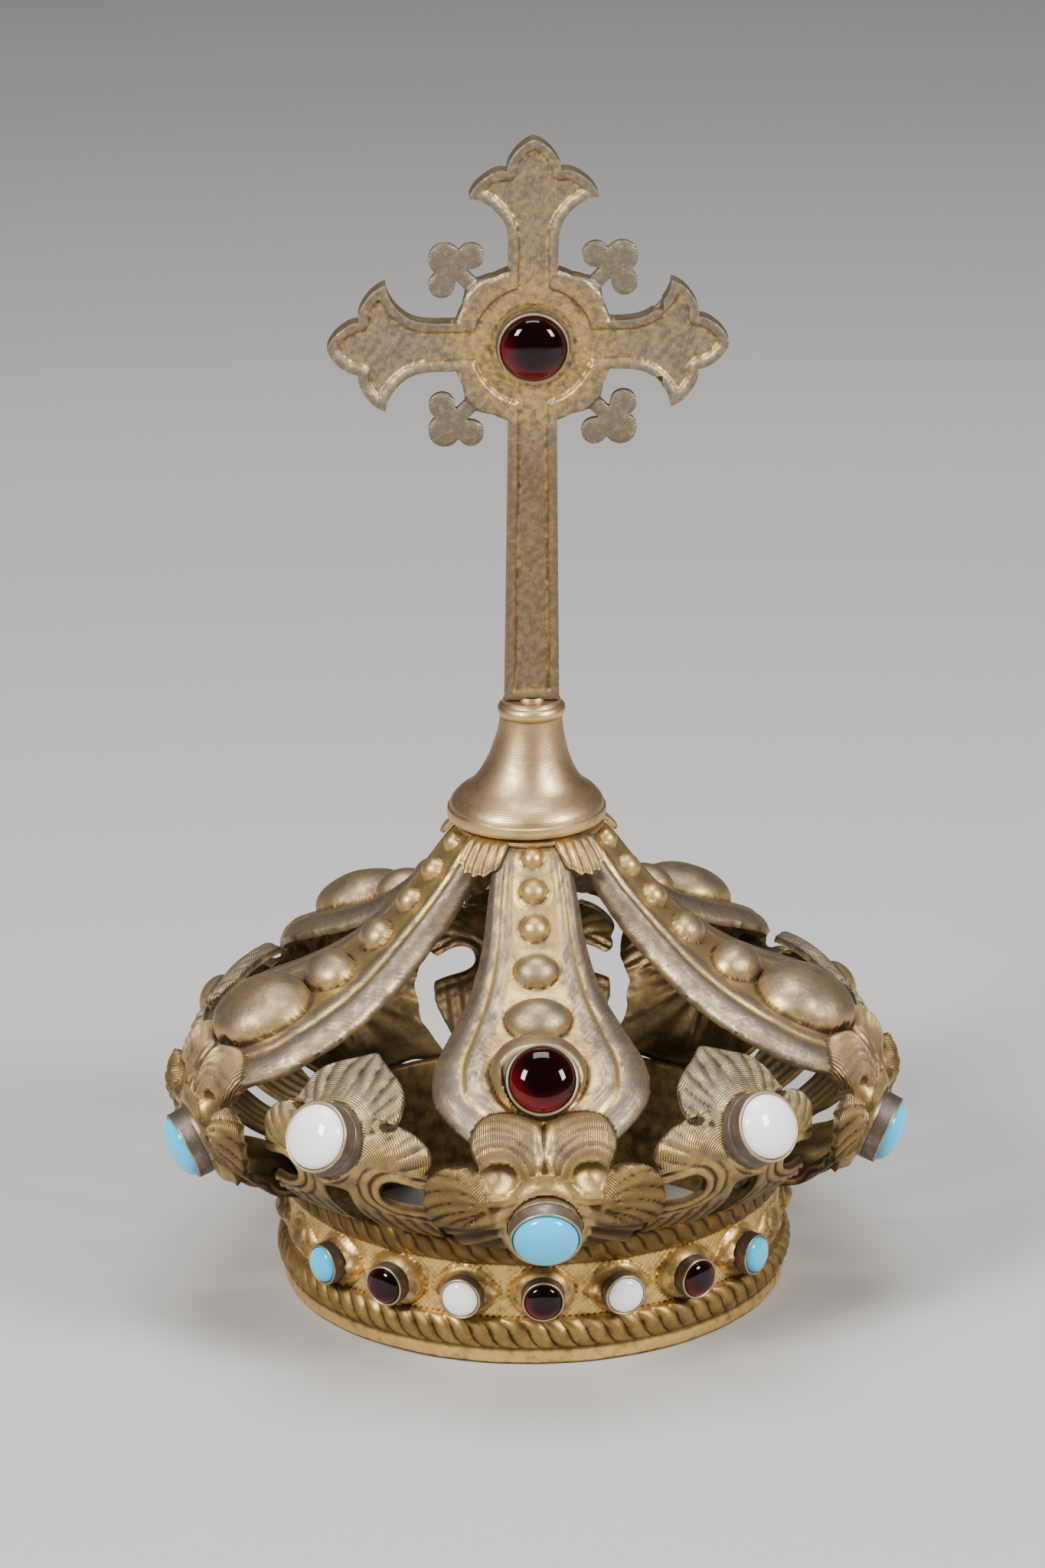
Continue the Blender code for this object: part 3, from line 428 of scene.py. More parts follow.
def makeGilt(name, gold, tan, tarnish, dirt, grain, mottle, hatchDepth=1.0, roughAdd=0.0,
             metal=0.92):
    # one finish of the aged gilding; the graver's lines are a sine of the hatch attribute
    material = bpy.data.materials.new(name)
    nodes, links, shader = makeNodes(material)
    group = nodes.new("ShaderNodeGroup")
    group.node_tree = ageGroup
    group.inputs["Gold"].default_value = (*gold, 1)
    group.inputs["Tan"].default_value = (*tan, 1)
    group.inputs["Tarnish"].default_value = (*tarnish, 1)
    group.inputs["Dirt"].default_value = dirt
    group.inputs["Grain"].default_value = grain
    group.inputs["Mottle"].default_value = mottle
    for key in ("raised", "recess", "cavity", "shade"):
        read = nodes.new("ShaderNodeAttribute")
        read.attribute_name = key
        links.new(read.outputs["Fac"], group.inputs[key.capitalize()])
    read = nodes.new("ShaderNodeAttribute")
    read.attribute_name = "hatch"
    mask = nodes.new("ShaderNodeAttribute")
    mask.attribute_name = "hatchMask"
    wave = mathNode(nodes, links, "SINE", read.outputs["Fac"])
    wave = mathNode(nodes, links, "MULTIPLY", wave, mask.outputs["Fac"])
    wave = mathNode(nodes, links, "MULTIPLY", wave, 0.5 * hatchDepth)
    links.new(wave, group.inputs["Hatch"])
    links.new(group.outputs["Color"], shader.inputs["Base Color"])
    rough = mathNode(nodes, links, "ADD", group.outputs["Roughness"], roughAdd)
    links.new(rough, shader.inputs["Roughness"])
    links.new(group.outputs["Normal"], shader.inputs["Normal"])
    shader.inputs["Metallic"].default_value = metal
    return material


gildedArch = makeGilt("gildedArch", gold=(0.60, 0.41, 0.16), tan=(0.44, 0.325, 0.20),
                      tarnish=(0.18, 0.14, 0.11), dirt=0.95, grain=0.5, mottle=1.7)
gildedLeaf = makeGilt("gildedLeaf", gold=(0.50, 0.345, 0.13), tan=(0.42, 0.36, 0.27),
                      tarnish=(0.18, 0.155, 0.13), dirt=0.9, grain=0.4, mottle=2.4)
gildedBand = makeGilt("gildedBand", gold=(0.80, 0.53, 0.18), tan=(0.47, 0.30, 0.12),
                      tarnish=(0.13, 0.083, 0.042), dirt=0.9, grain=0.35, mottle=2.4, metal=0.9)
gildedCross = makeGilt("gildedCross", gold=(0.60, 0.41, 0.15), tan=(0.40, 0.31, 0.19),
                       tarnish=(0.18, 0.145, 0.11), dirt=0.95, grain=0.7, mottle=4.5)
turnedBrass = makeGilt("turnedBrass", gold=(0.76, 0.54, 0.245), tan=(0.66, 0.46, 0.25),
                       tarnish=(0.33, 0.225, 0.13), dirt=0.8, grain=0.10, mottle=1.2,
                       hatchDepth=0.3, roughAdd=-0.02, metal=1.0)
darkMetal = makeGilt("darkMetal", gold=(0.44, 0.34, 0.21), tan=(0.29, 0.235, 0.19),
                     tarnish=(0.13, 0.105, 0.088), dirt=0.8, grain=0.25, mottle=3.0, metal=0.9)


def makeStone(name, deep, edge, rimLightShadeColor, ior, coat, milky):
    # body colour, a paler rim toward grazing, and painted light and shade low in the rim: red light in
    # the garnet, darker shade in the turquoise
    material = bpy.data.materials.new(name)
    nodes, links, shader = makeNodes(material)
    facing = nodes.new("ShaderNodeLayerWeight")
    facing.inputs["Blend"].default_value = 0.35
    place = nodes.new("ShaderNodeTexCoord").outputs["Object"]
    cloud = noiseNode(nodes, links, place, 260, 3)
    share = mathNode(nodes, links, "MULTIPLY_ADD", cloud, 0.25, facing.outputs["Facing"])
    share = rampNode(nodes, links, share, 0.15, 1.0)
    base = mixNode(nodes, links, share, deep, edge)
    rimLightShade = nodes.new("ShaderNodeAttribute")
    rimLightShade.attribute_name = "rimLightShade"
    base = mixNode(nodes, links, rimLightShade.outputs["Fac"], base, rimLightShadeColor)
    links.new(base, shader.inputs["Base Color"])
    shader.inputs["Roughness"].default_value = 0.05
    shader.inputs["Coat Weight"].default_value = coat
    shader.inputs["Coat Roughness"].default_value = 0.02
    shader.inputs["IOR"].default_value = ior
    if milky:
        shader.inputs["Subsurface Weight"].default_value = milky
        shader.inputs["Subsurface Radius"].default_value = (0.6, 0.5, 0.5)
        shader.inputs["Subsurface Scale"].default_value = 0.003
    return material


turquoiseGlass = makeStone("turquoiseGlass", deep=(0.02, 0.53, 0.92), edge=(0.09, 0.63, 0.95),
                           rimLightShadeColor=(0.03, 0.28, 0.46), ior=1.48, coat=0.2, milky=0.1)
whiteGlass = makeStone("whiteGlass", deep=(0.97, 0.99, 1.0), edge=(0.97, 0.99, 1.0),
                       rimLightShadeColor=(0.95, 0.88, 0.86), ior=1.5, coat=0.4, milky=0.2)
garnetGlass = makeStone("garnetGlass", deep=(0.004, 0.0003, 0.0005), edge=(0.05, 0.001, 0.003),
                        rimLightShadeColor=(0.24, 0.004, 0.008), ior=1.38, coat=0, milky=0)
print("materials made")

# Arches: a strap with rolled flanges and bosses, cast in one with its leaf foot

arch = {
    "strap": [(7.2, 0.6), (8.4, 4), (9.9, 13), (11.1, 22), (13.4, 31.5), (17.1, 41), (20.0, 49),
              (20.9, 55), (20.5, 59.5), (18.5, 62.8), (16.4, 65), (14.2, 67)],
    "foot": [(13.5, 69), (12.6, 71.9), (12.6, 71.9), (14.2, 71.7), (16.8, 71.9), (19.6, 72.9),
             (21.3, 74.8), (21.9, 77.5), (21.7, 80), (20.2, 82.5), (18.5, 84.5), (17.5, 88),
             (16, 91.5), (14.9, 97), (13.8, 103.6), (13.8, 103.6)],
    # distance down the arch, half width and half length, and on the big ones the height
    "smallBosses": [(4.2, 2.0, 2.0), (10.8, 2.5, 2.5), (18.3, 2.8, 2.7), (27.4, 4.1, 3.5),
                    (38.8, 6.2, 5.0)],
    "bigBoss": (53.5, 10.1, 9.7, 5.7),
    "frontBoss": (53.2, 9.0, 9.1, 6.0),
    # in place of a stone at the back: distance down the arch, radius and height
    "rearBoss": (81.5, 5.2, 2.64),
    "hornHeight": 2.3,
    "hornInside": 6.7,
    "hornOutside": 9.4,
    "thick": 1.1,
    "grid": 0.42}

# where a large stone sits: its place (radius, height, degrees above the level), how deep
# its flat seat lies below it, and the two radii between which the seat runs out
seats = {
    "garnet": {"place": (59.5, 61.8, 30), "depth": 2.3, "rim": (6.9, 7.4)},
    "turquoise": {"place": (70.2, 34.9, -22), "depth": 5.3, "rim": (6.2, 6.7)},
    "white": {"place": (70.55, 50.6, 25), "depth": 5.7, "rim": (6.1, 6.6)}}


def seatLimit(across, along, stand, seat):
    # how far past the stand the dome's normal meets the flat behind a stone, the distance
    # from the stone's axis, and 1 on the seat easing to 0 at its rim
    r, z, elevation = seat["place"]
    e = math.radians(elevation)
    axis = np.array([0, -math.cos(e), math.sin(e)])
    centre = np.array([0, -r, z]) - axis * seat["depth"]
    low = onDome(across, along, stand)
    up = onDome(across, along, stand + 1.0) - low
    reach = ((centre - low) @ axis) / (up @ axis)
    away = low - centre
    sideways = np.linalg.norm(away - (away @ axis)[:, None] * axis, axis=1)
    return reach, sideways, 1 - ease(*seat["rim"], sideways)


def bossShape(across, along, middle, wide, long, height):
    # half ellipsoid, height times the root of 1 less q squared, with a low collar at q = 1
    q = np.hypot(across / wide, (along - middle) / long)
    dome = height * np.sqrt(np.clip(1 - q * q, 0, 1))
    collar = 0.12 * hump((q - 1.0) * min(wide, long), 0.7, 0.6)
    return np.maximum(dome, collar * (height < 5)), np.clip(1.25 - q, 0, 1)


def crests(phase):
    # twice the 0.6th power of the cosine of half the phase, less 1: round crests, narrow valleys
    return 2 * np.abs(np.cos(phase / 2)) ** 0.6 - 1


def fanRibs(x, y, root, ribs, spiral, near, far):
    # crests of the direction from a root point, which turns a little with the distance;
    # returns the wave, its strength and the distance
    dx, dy = x - root[0], y - root[1]
    away = np.hypot(dx, dy)
    turn = np.arctan2(dx, -dy) + spiral * away
    return crests(turn * ribs), ease(near, far, away), away


def archShape(u, t, garnetSeat, turquoiseSeat):
    # bend: the flanges' droop, a power of the share across them. relief: sine rolls on flange
    # and band, half ellipsoids for the bosses, and a leaf foot that rises as 1 less a falling
    # exponential of the distance from its edge, with crests of polar waves as ribs
    x = np.abs(u)
    flat = np.stack([x, t], -1)
    strapLine = smoothLine([(7.0, -6)] + arch["strap"] + [(11.5, 69.5), (6, 71.6), (0, 72.2)])
    edge = nearest(flat, strapLine)[0]
    flange = table(t, [0, 17, 33, 50, 57, 66], [2.6, 3.5, 4.2, 5.6, 6.2, 5.2])
    band = table(t, [0, 17, 33, 50, 57, 66], [2.0, 2.7, 4.0, 4.6, 4.6, 3.6])
    s1 = np.clip(edge / flange, 0, 1)
    droop = table(t, [0, 9, 20, 30, 42, 62, 69], [1.4, 2.2, 2.9, 2.6, 2.0, 1.6, 0.4])
    bend = -droop * (1 - s1) ** 1.6
    relief = 0.5 * np.sin(math.pi * s1) ** 0.8
    s2 = np.clip((edge - flange) / band, 0, 1)
    relief += np.where(s2 < 1, 0.42 * np.sin(math.pi * s2 ** 0.8) ** 0.9, 0)
    relief -= 0.22 * hump(edge, flange + 0.1, 0.40) + 0.12 * hump(edge, flange + band, 0.5)
    relief *= ease(0.5, 6, t) * 0.8 + 0.2
    raised = 0.8 * ease(0.15, 0.7, s1) * (1 - ease(0.8, 1.0, s1)) + 0.5 * np.sin(math.pi * s2)
    recess = hump(edge, flange + 0.1, 0.8) + 0.8 * hump(edge, flange + band, 1.0) + 0.5 * (s2 >= 1)
    for middle, wide, long in arch["smallBosses"]:
        dome, near = bossShape(u, t, middle, wide, long, min(wide, long) * 0.86)
        relief = np.maximum(relief, dome)
        # the upper bosses are rubbed bright, the lower ones grey
        share = ease(0.2, 0.4, near)
        raised = raised * (1 - share) + share * table(middle, [4, 18, 27], [0.0, 0.3, 0.55])
        recess = recess * (1 - share) + share * table(middle, [4, 18, 27], [1.1, 0.5, 0.1])
    middle, wide, long, height = arch["frontBoss" if garnetSeat else "bigBoss"]
    q = np.hypot((u + 0.5 * garnetSeat) / wide, (t - middle) / long)
    dome = height * np.sqrt(np.clip(1 - q ** (2 + 0.6 * garnetSeat), 0, 1))
    dome += 0.9 * np.clip((t - middle) / long, 0, 1) ** 2
    dome *= q < 1
    relief = np.maximum(relief, dome) - 0.12 * hump(q, 1.05, 0.06) * (q > 1)
    share = 1 - ease(0.9, 1.02, q)
    raised = raised * (1 - share) + share * (0.35 + 0.45 * ease(0.3, 1.0, q))
    recess = recess * (1 - share) + share * 0.25
    # leaf foot: the upper pair of lobes stands over the strap's end
    topLine = smoothLine([(0, 63.9), (0.8, 63.0), (2.6, 62.1), (5.4, 61.5), (9.0, 61.6), (11.7, 63.2),
                          (13.4, 65.8), (13.7, 68.8), (12.6, 72.0)])
    leafLoop = np.concatenate([topLine, [(30, 72), (30, 120), (0, 120)]])
    leaf = insideLoop(flat, leafLoop)
    inward = nearest(flat, topLine)[0] * leaf
    rise = 1.9 * (1 - np.exp(-(inward / 1.0) ** 1.4))
    lobe = rise + 1.1 * np.exp(-((x - 7.2) / 4.6) ** 2 - ((t - 66.8) / 3.6) ** 2)
    # ribs of the upper lobes curl round the eyelets, hatched across
    away = np.hypot(x - 8.0, t - 73.8)
    turn = np.arctan2(x - 8.0, 73.8 - t)
    wave = crests((away - 0.12 * (turn + 1.2) ** 2) * 2 * math.pi / 1.55)
    upper = (1 - ease(72.0, 74.5, t)) * leaf
    strength = ease(3.6, 4.6, away) * (1 - 0.6 * ease(8.5, 11.5, away))
    strength = strength * ease(1.4, 3.2, x)
    lobe += 0.20 * wave * strength * upper * ease(0.2, 1.4, inward)
    hatch = turn * away * 2 * math.pi / 0.42
    hatchMask = upper * ease(3.2, 4.0, away) * ease(1.2, 2.4, x)
    # side lobes below, their crescent ribs spread from under the eyelet
    side = leaf * ease(71.4, 73.0, t) * (1 - ease(82.0, 84.5, t)) * ease(10.8, 12.2, x + 0.35 * (t - 74))
    sideWave, sideStrength, sideAway = fanRibs(x, t, (8.6, 79.6), 26, -0.055, 2.6, 4.6)
    body = 1.5 * np.exp(-((x - 15.2) / 5.2) ** 2 - ((t - 77) / 4.4) ** 2)
    lobe += side * (body + 0.30 * sideWave * sideStrength)
    hatch = np.where(side > 0.3, sideAway * 2 * math.pi / 0.42, hatch)
    hatchMask = np.maximum(hatchMask, side * sideStrength)
    crease = nearest(flat, smoothLine([(11.2, 79.4), (14.4, 81.3), (19.8, 82.8)]))[0]
    lobe -= 0.35 * hump(crease, 0, 0.7) * leaf
    # smooth scooped eyelets, deepest under the lobe and open outward, a lens below each
    q = np.hypot((x - 8.6 - 0.2 * (t - 73.8)) / 3.7, (t - 73.6) / 2.9)
    bowl = leaf * np.clip(1 - q * q, 0, 1) ** 0.5
    lobe = lobe * (1 - 0.7 * bowl)
    lobe -= bowl * 1.7 * (1 - ease(71.0, 76.2, t)) * (1 - 0.95 * ease(8.0, 11.6, x))
    lens = np.clip(1 - ((x - 8.4) / 4.0) ** 2 - ((t - 77.3 + 0.03 * (x - 8.4) ** 2) / 0.9) ** 2, 0, 1)
    lobe += leaf * 0.7 * lens ** 0.5
    # stem widening down between the lobes
    half = table(t, [64, 68, 72, 76, 80], [0.1, 0.35, 1.0, 2.0, 3.6])
    stem = leaf * ease(68.0, 71.5, t) * (1 - ease(81, 84, t))
    hollow = np.clip(1 - (x / np.maximum(half, 0.2)) ** 2, 0, 1)
    lobe += stem * (0.65 * hump(x, half, 0.42) - 0.2 * hollow)
    lobe -= leaf * 0.8 * hump(x, 0, 0.4) * (1 - ease(66.0, 70.0, t))
    # veined skirt and the keel behind the stone
    veins = np.cos(np.arctan2(x - 1.5, t - 80.0) * 15)
    skirt = leaf * ease(81.5, 84.5, t)
    lobe += skirt * (0.42 * veins * ease(3, 8, np.hypot(x, t - 82)) - 0.9)
    lobe += leaf * 2.6 * np.exp(-(x / 4.4) ** 2 - ((t - 95.0) / 5.0) ** 2)
    hem = nearest(flat, smoothLine([(6.5, 79.0), (10, 80.6), (15, 81.8), (19.8, 82.4)]))[0]
    lobe += leaf * 0.8 * ease(78, 80, t) * hump(hem, 0, 0.9)
    # hollow ends of the strap stop at the leaf's border
    relief = np.where(leaf, np.maximum(lobe, -0.8), relief)
    bend = np.where(leaf, bend * (1 - ease(0, 3, inward)), bend)
    pit = hump(inward, 0, 0.5) * leaf
    raised = np.where(leaf, 0.35 + 0.25 * wave * strength * upper - 0.5 * pit, raised)
    recess = np.where(leaf, 0.40 + 0.45 * ease(70, 76, t) + 0.6 * (q < 1.15) + 0.4 * (lens > 0), recess)
    raised = np.where(leaf & (t > 81), 0.75 - 0.4 * veins, raised)
    if garnetSeat:
        reach, sideways, inner = seatLimit(u, t, bend, seats["garnet"])
        relief = relief * (1 - inner) + np.minimum(relief, reach) * inner
        recess = np.maximum(recess, 0.9 * hump(sideways, 8.0, 2.2) * (t > 58))
    if turquoiseSeat:
        reach, sideways, inner = seatLimit(u, t, bend, seats["turquoise"])
        # a smooth horn rises round the lower half of the collet
        horn = reach + arch["hornHeight"] * (1 - ease(arch["hornInside"], arch["hornOutside"], sideways))
        onFoot = (sideways < arch["hornOutside"]) & leaf
        relief = np.where(onFoot, np.maximum(relief, horn), relief)
        relief = relief * (1 - inner) + reach * inner
        onHorn = 1 - ease(arch["hornOutside"] - 1.0, arch["hornOutside"], sideways)
        hatchMask = hatchMask * (1 - onHorn)
        smooth = np.maximum(np.clip(2 * bowl, 0, 1), onHorn)
        eyeletShadow = hump(q, 0.8, 0.28) * (1 - ease(71.8, 74.0, t))
    else:
        # a plain boss where the front arches carry a stone
        middle, radius, height = arch["rearBoss"]
        q = np.hypot(u, t - middle) / radius
        relief = np.maximum(relief, height * np.sqrt(np.clip(1 - q * q, 0, 1)))
        onHorn, smooth, eyeletShadow = 0.0, 0.0, 0.0
    relief += 0.06 * wavyNoise(u, t, 3, 9.0)
    # the cut edge turns over a little
    outline = nearest(flat, smoothLine(arch["strap"] + arch["foot"]))[0]
    relief -= 0.22 * np.exp(-outline / 0.35)
    # grey streaks run down the flanges and the band beside them
    streak = wavyNoise(edge * 5, t * 0.8, 31, 3.2) * (edge < flange + band) * (1 - leaf)
    raised = raised + 0.5 * streak + 0.35 * (edge < flange) * (1 - leaf)
    recess = recess + 0.5 * smooth
    raised = raised * (1 - 0.8 * smooth)
    # painted shade on the skirt and a painted shadow in the top of each eyelet, handed on as cavity
    dark = leaf * (1.3 * ease(81.0, 83.5, t) * (1 - onHorn) + 2.2 * eyeletShadow)
    # painted shade: the foot darker and deeper gold toward its lower part, less on the horn and the
    # eyelets
    under = leaf * (0.1 + 1.05 * ease(68, 76, t) + 0.45 * ease(79, 84, t)) * (1 - 0.75 * smooth)
    return bend, relief, {"raised": raised, "recess": recess, "hatch": hatch, "cavity": dark,
                          "hatchMask": 1.5 * hatchMask, "shade": under,
                          "crevice": np.where(leaf, 1.0, 0.4) * (1 - 0.8 * smooth)}


def sawnLoop(half, seed, amount):
    # half an outline and its mirror image, moved sideways by a slight noise
    line = smoothLine(half)
    loop = np.concatenate([line, (line * [-1, 1])[::-1]])
    keep = np.hypot(*(loop - np.roll(loop, 1, 0)).T) > 1e-6
    loop = loop[keep]
    shift = amount * wavyNoise(loop[:, 0], loop[:, 1], seed, 3.0)
    side = np.sign(loop[:, 0])
    loop[:, 0] += side * shift
    return loop


# inner faces: painted shade inside the crown through the cavity and shade values, warmed toward gold as
# painted reflected light
sheetBack = {"raised": 0.5, "recess": 0.8, "cavity": 0.8, "shade": 0.6}


def buildSheet(loop, grid, shape, thick, kind):
    # a flat grid laid on the dome: outside it stands off by bend plus relief, inside by
    # bend plus 0.93 of the relief, less the thickness
    flat, quads, border = trimmedGrid(loop, grid)
    u, t = flat[:, 0], flat[:, 1]
    bend, relief, values = shape(u, t, *kind)
    crevice = values.pop("crevice")
    values["cavity"] = values["cavity"] + crevice * cavityOf(relief, quads, grid)
    outer = onDome(u, t, bend + relief)
    inner = onDome(u, t, bend + relief * 0.93 - thick)
    faces = sheetFaces(quads, border, len(flat))
    # the dome's map turns the sheet over, so the winding is turned too
    faces = faces[:, ::-1]
    values = {key: np.concatenate([value, np.full(len(flat), sheetBack.get(key, 0.0))])
              for key, value in values.items()}
    return np.concatenate([outer, inner]), faces, values


def addSheets(sizes, loop, shape, material, title, node, places):
    # each kind is worked out once, then turned to every place that has it
    made = {}
    for key, angle, kind in places:
        if kind not in made:
            made[kind] = buildSheet(loop, sizes["grid"], shape, sizes["thick"], kind)
        verts, faces, values = made[kind]
        mesh = writeMesh(f"{title}_{key}", turnAbout(verts, angle), faces, values)
        addPiece(f"{title}_{key}", mesh, material, [f"{node}_{key}"])


# place, degrees round the crown, and whether it has the garnet's and the turquoise's seat
archPlaces = [("front", 0, (True, True)), ("left", -72, (False, True)), ("right", 72, (False, True)),
              ("rear_left", -144, (False, False)), ("rear_right", 144, (False, False))]
archLoop = sawnLoop(arch["strap"] + arch["foot"], 5, 0.10)
addSheets(arch, archLoop, archShape, gildedArch, "gilt_arch", "arch", archPlaces)
print("arches made")

# Palmettes: three ribbed lobes over two scrolled legs

palmette = {
    "half": [(0, 50.0), (0, 50.0), (1.6, 51.3), (3.8, 53), (6.8, 55), (9.2, 57), (10.8, 60),
             (11.4, 62.8), (11.7, 65.4), (11.7, 65.4), (12.8, 65.6), (15.8, 66.6), (18.2, 68.4),
             (19.7, 70.6), (19.9, 72.4), (19.2, 74.6), (19.2, 74.6), (19.8, 77.0), (18.3, 78.6),
             (16, 77.6), (13, 77), (11, 77.8), (9.8, 79.8), (10, 82), (12, 83.7), (15.5, 84.7),
             (18.6, 85.9), (18.6, 85.9), (18.2, 89.6), (16.2, 95), (14.0, 100.5), (13.2, 104.2),
             (13.2, 104.2), (2.8, 104.2), (2.8, 104.2), (2.8, 92), (2.8, 83), (2.0, 81.2), (0, 80.6)],
    "swell": 1.3,
    "swellFrom": 6.4,
    "thick": 1.1,
    "grid": 0.42}


def palmetteShape(u, t, whiteSeat):
    # bend: a table down the leaf, less smooth steps toward its sides. relief: a low swelling,
    # crests of polar waves as ribs on three lobes, bells along the scrolls and cosine reeds
    x = np.abs(u)
    flat = np.stack([x, t], -1)
    bend = table(t, [50, 68, 80, 92, 100], [-1.0, -1.2, -2.4, -1.2, 0.0])
    bend = bend - 1.2 * ease(13, 20, x) * ease(62, 66, t) * (1 - ease(84, 90, t))
    bend = bend - 0.6 * ease(7, 12, x) * (1 - ease(62, 66, t))
    edge = nearest(flat, smoothLine(palmette["half"]))[0]
    relief = 0.35 + 0.7 * np.exp(-(x / 6.0) ** 2 - ((t - 60) / 7.5) ** 2)
    # top lobe
    wave, strength, away = fanRibs(x, t, (0, 71.5), 30, 0.02, 7.0, 12.0)
    top = 1 - ease(63.8, 66.0, t + 0.25 * (x - 10.5) * (x > 9))
    nearRim = 1 - 0.75 * ease(3.5, 7.0, edge)
    lobe = 0.30 * wave * strength * top * ease(0.0, 0.8, edge) * nearRim
    lobe -= top * 0.25 * hump(x, 0, 0.35) * strength
    # side lobes
    sideWave, sideStrength, sideAway = fanRibs(x, t, (6.0, 73.8), 22, 0.03, 4.5, 9.0)
    side = (1 - top) * (1 - ease(75.0, 77.0, t - 0.2 * (x - 14)))
    lobe += 0.27 * sideWave * sideStrength * side * ease(0.0, 0.8, edge)
    lobe += side * 0.9 * np.exp(-((x - 13.5) / 4.4) ** 2 - ((t - 71.0) / 3.6) ** 2)
    relief += lobe
    hatch = np.where(top > 0.5, away, sideAway) * 2 * math.pi / 0.45
    hatchMask = np.maximum(top * ease(5.0, 9.0, away), side) * 0.9
    # crease from the notch and its eyelet
    crease = nearest(flat, smoothLine([(11.5, 66.0), (8.8, 66.8), (6.4, 68.6)]))[0]
    relief -= 0.45 * hump(crease, 0, 0.8)
    q = np.hypot((x - 10.2) / 1.9, (t - 65.9) / 1.1)
    relief -= 0.9 * np.clip(1 - q * q, 0, 1) ** 0.7
    relief += 0.4 * hump(q, 1.25, 0.22)
    # scroll round its opening: lip, groove and outer ridge
    scroll = smoothLine([(18.6, 78.6), (16, 77.6), (13, 77), (11, 77.8), (9.8, 79.8), (10, 82),
                         (12, 83.7), (15.5, 84.7), (18.6, 85.9)])
    near = nearest(flat, scroll)[0]
    legs = ease(73.6, 75.6, t)
    relief += 0.40 * hump(near, 0.9, 0.7) * legs - 0.40 * hump(near, 2.2, 0.45) * legs
    relief += 0.25 * hump(near, 3.3, 0.7) * legs - 0.25 * hump(near, 4.4, 0.45) * legs
    hatchMask = hatchMask * (1 - legs)
    # legs: reeds running down to the circlet
    reed = ease(84.0, 88.0, t)
    relief += reed * 0.20 * np.cos((x - 2.8) / (2.6 + 0.03 * (104 - t)) * 2 * math.pi)
    relief += 0.4 * hump(x, 4.0, 0.8) * ease(79, 82, t) * (1 - reed)
    raised = 0.35 + 0.5 * ease(60, 54, t) + 0.25 * wave * strength * top
    recess = 0.35 + 0.5 * ease(66, 74, t) + 0.3 * hump(near, 2.2, 0.8)
    raised = raised * (1 - 0.7 * ease(72, 78, t)) + 0.35 * ease(80, 88, t)
    if whiteSeat:
        reach, sideways, inner = seatLimit(u, t, bend, seats["white"])
        # the leaf swells a little round the collet
        past = np.maximum(sideways - palmette["swellFrom"], 0)
        relief = relief + palmette["swell"] * np.exp(-(past / 2.0) ** 2)
        relief = relief * (1 - inner) + reach * inner
        hatchMask = hatchMask * (1 - inner)
        raised = np.maximum(raised, 0.5 * hump(sideways, 8.0, 1.0))
    else:
        # a plain boss where the front leaves carry a stone
        q = np.hypot(u / 4.8, (t - 69.0) / 4.8)
        relief = np.maximum(relief, 2.9 * np.sqrt(np.clip(1 - q * q, 0, 1)))
        hatchMask = hatchMask * ease(0.95, 1.1, q)
    relief += 0.06 * wavyNoise(u, t, 8, 7.0)
    relief -= 0.22 * np.exp(-edge / 0.35)
    # painted shade: the legs darker toward the circlet (cavity) and the lower leaf darker and deeper gold
    # (shade)
    return bend, relief, {"raised": raised, "recess": recess, "hatch": hatch, "hatchMask": hatchMask,
                          "cavity": 0.9 * ease(82.0, 90.0, t), "crevice": 1.0,
                          "shade": ease(71, 84, t)}


# place, degrees round the crown, and whether it has the white stone's seat
palmettePlaces = [("front_left", -36, (True,)), ("front_right", 36, (True,)),
                  ("side_left", -108, (False,)), ("side_right", 108, (False,)),
                  ("back", 180, (False,))]
palmetteLoop = sawnLoop(palmette["half"], 9, 0.05)
addSheets(palmette, palmetteLoop, palmetteShape, gildedLeaf, "ribbed_palmette", "palmette",
          palmettePlaces)
print("palmettes made")


def tube(rows, columns, closedRows=False):
    # quads of a grid closed round its columns, and round its rows if asked
    i = np.arange(rows if closedRows else rows - 1)[:, None]
    j = np.arange(columns)[None, :]
    k = (i + 1) % rows
    m = (j + 1) % columns
    corners = [i * columns + j, i * columns + m, k * columns + m, k * columns + j]
    return np.stack(corners, -1).reshape(-1, 4)


def turned(profile, columns):
    # a profile of radius and height carried round the axis: radius times sine and cosine
    p = np.array(profile, float)
    a = 2 * math.pi * np.arange(columns) / columns
    r = np.repeat(p[:, :1], columns, 1)
    z = np.repeat(p[:, 1:], columns, 1)
    aa = np.repeat(a[None], len(p), 0)
    return np.stack([r * np.sin(aa), -r * np.cos(aa), z], -1), tube(len(p), columns)


# Circlet: rim, two ropes and a stamped ground between them

circlet = {
    "rim": 48.7, "rimTop": 3.1,
    "strands": 84, "lowerRopeTop": 9.4, "upperRopeFoot": 20.0, "height": 25.6,
    "ground": 48.0, "motifs": 21, "motifZ": 14.5, "seat": 50.2,
    "bore": 46.2,
    "columns": 1008, "groundRows": 42}


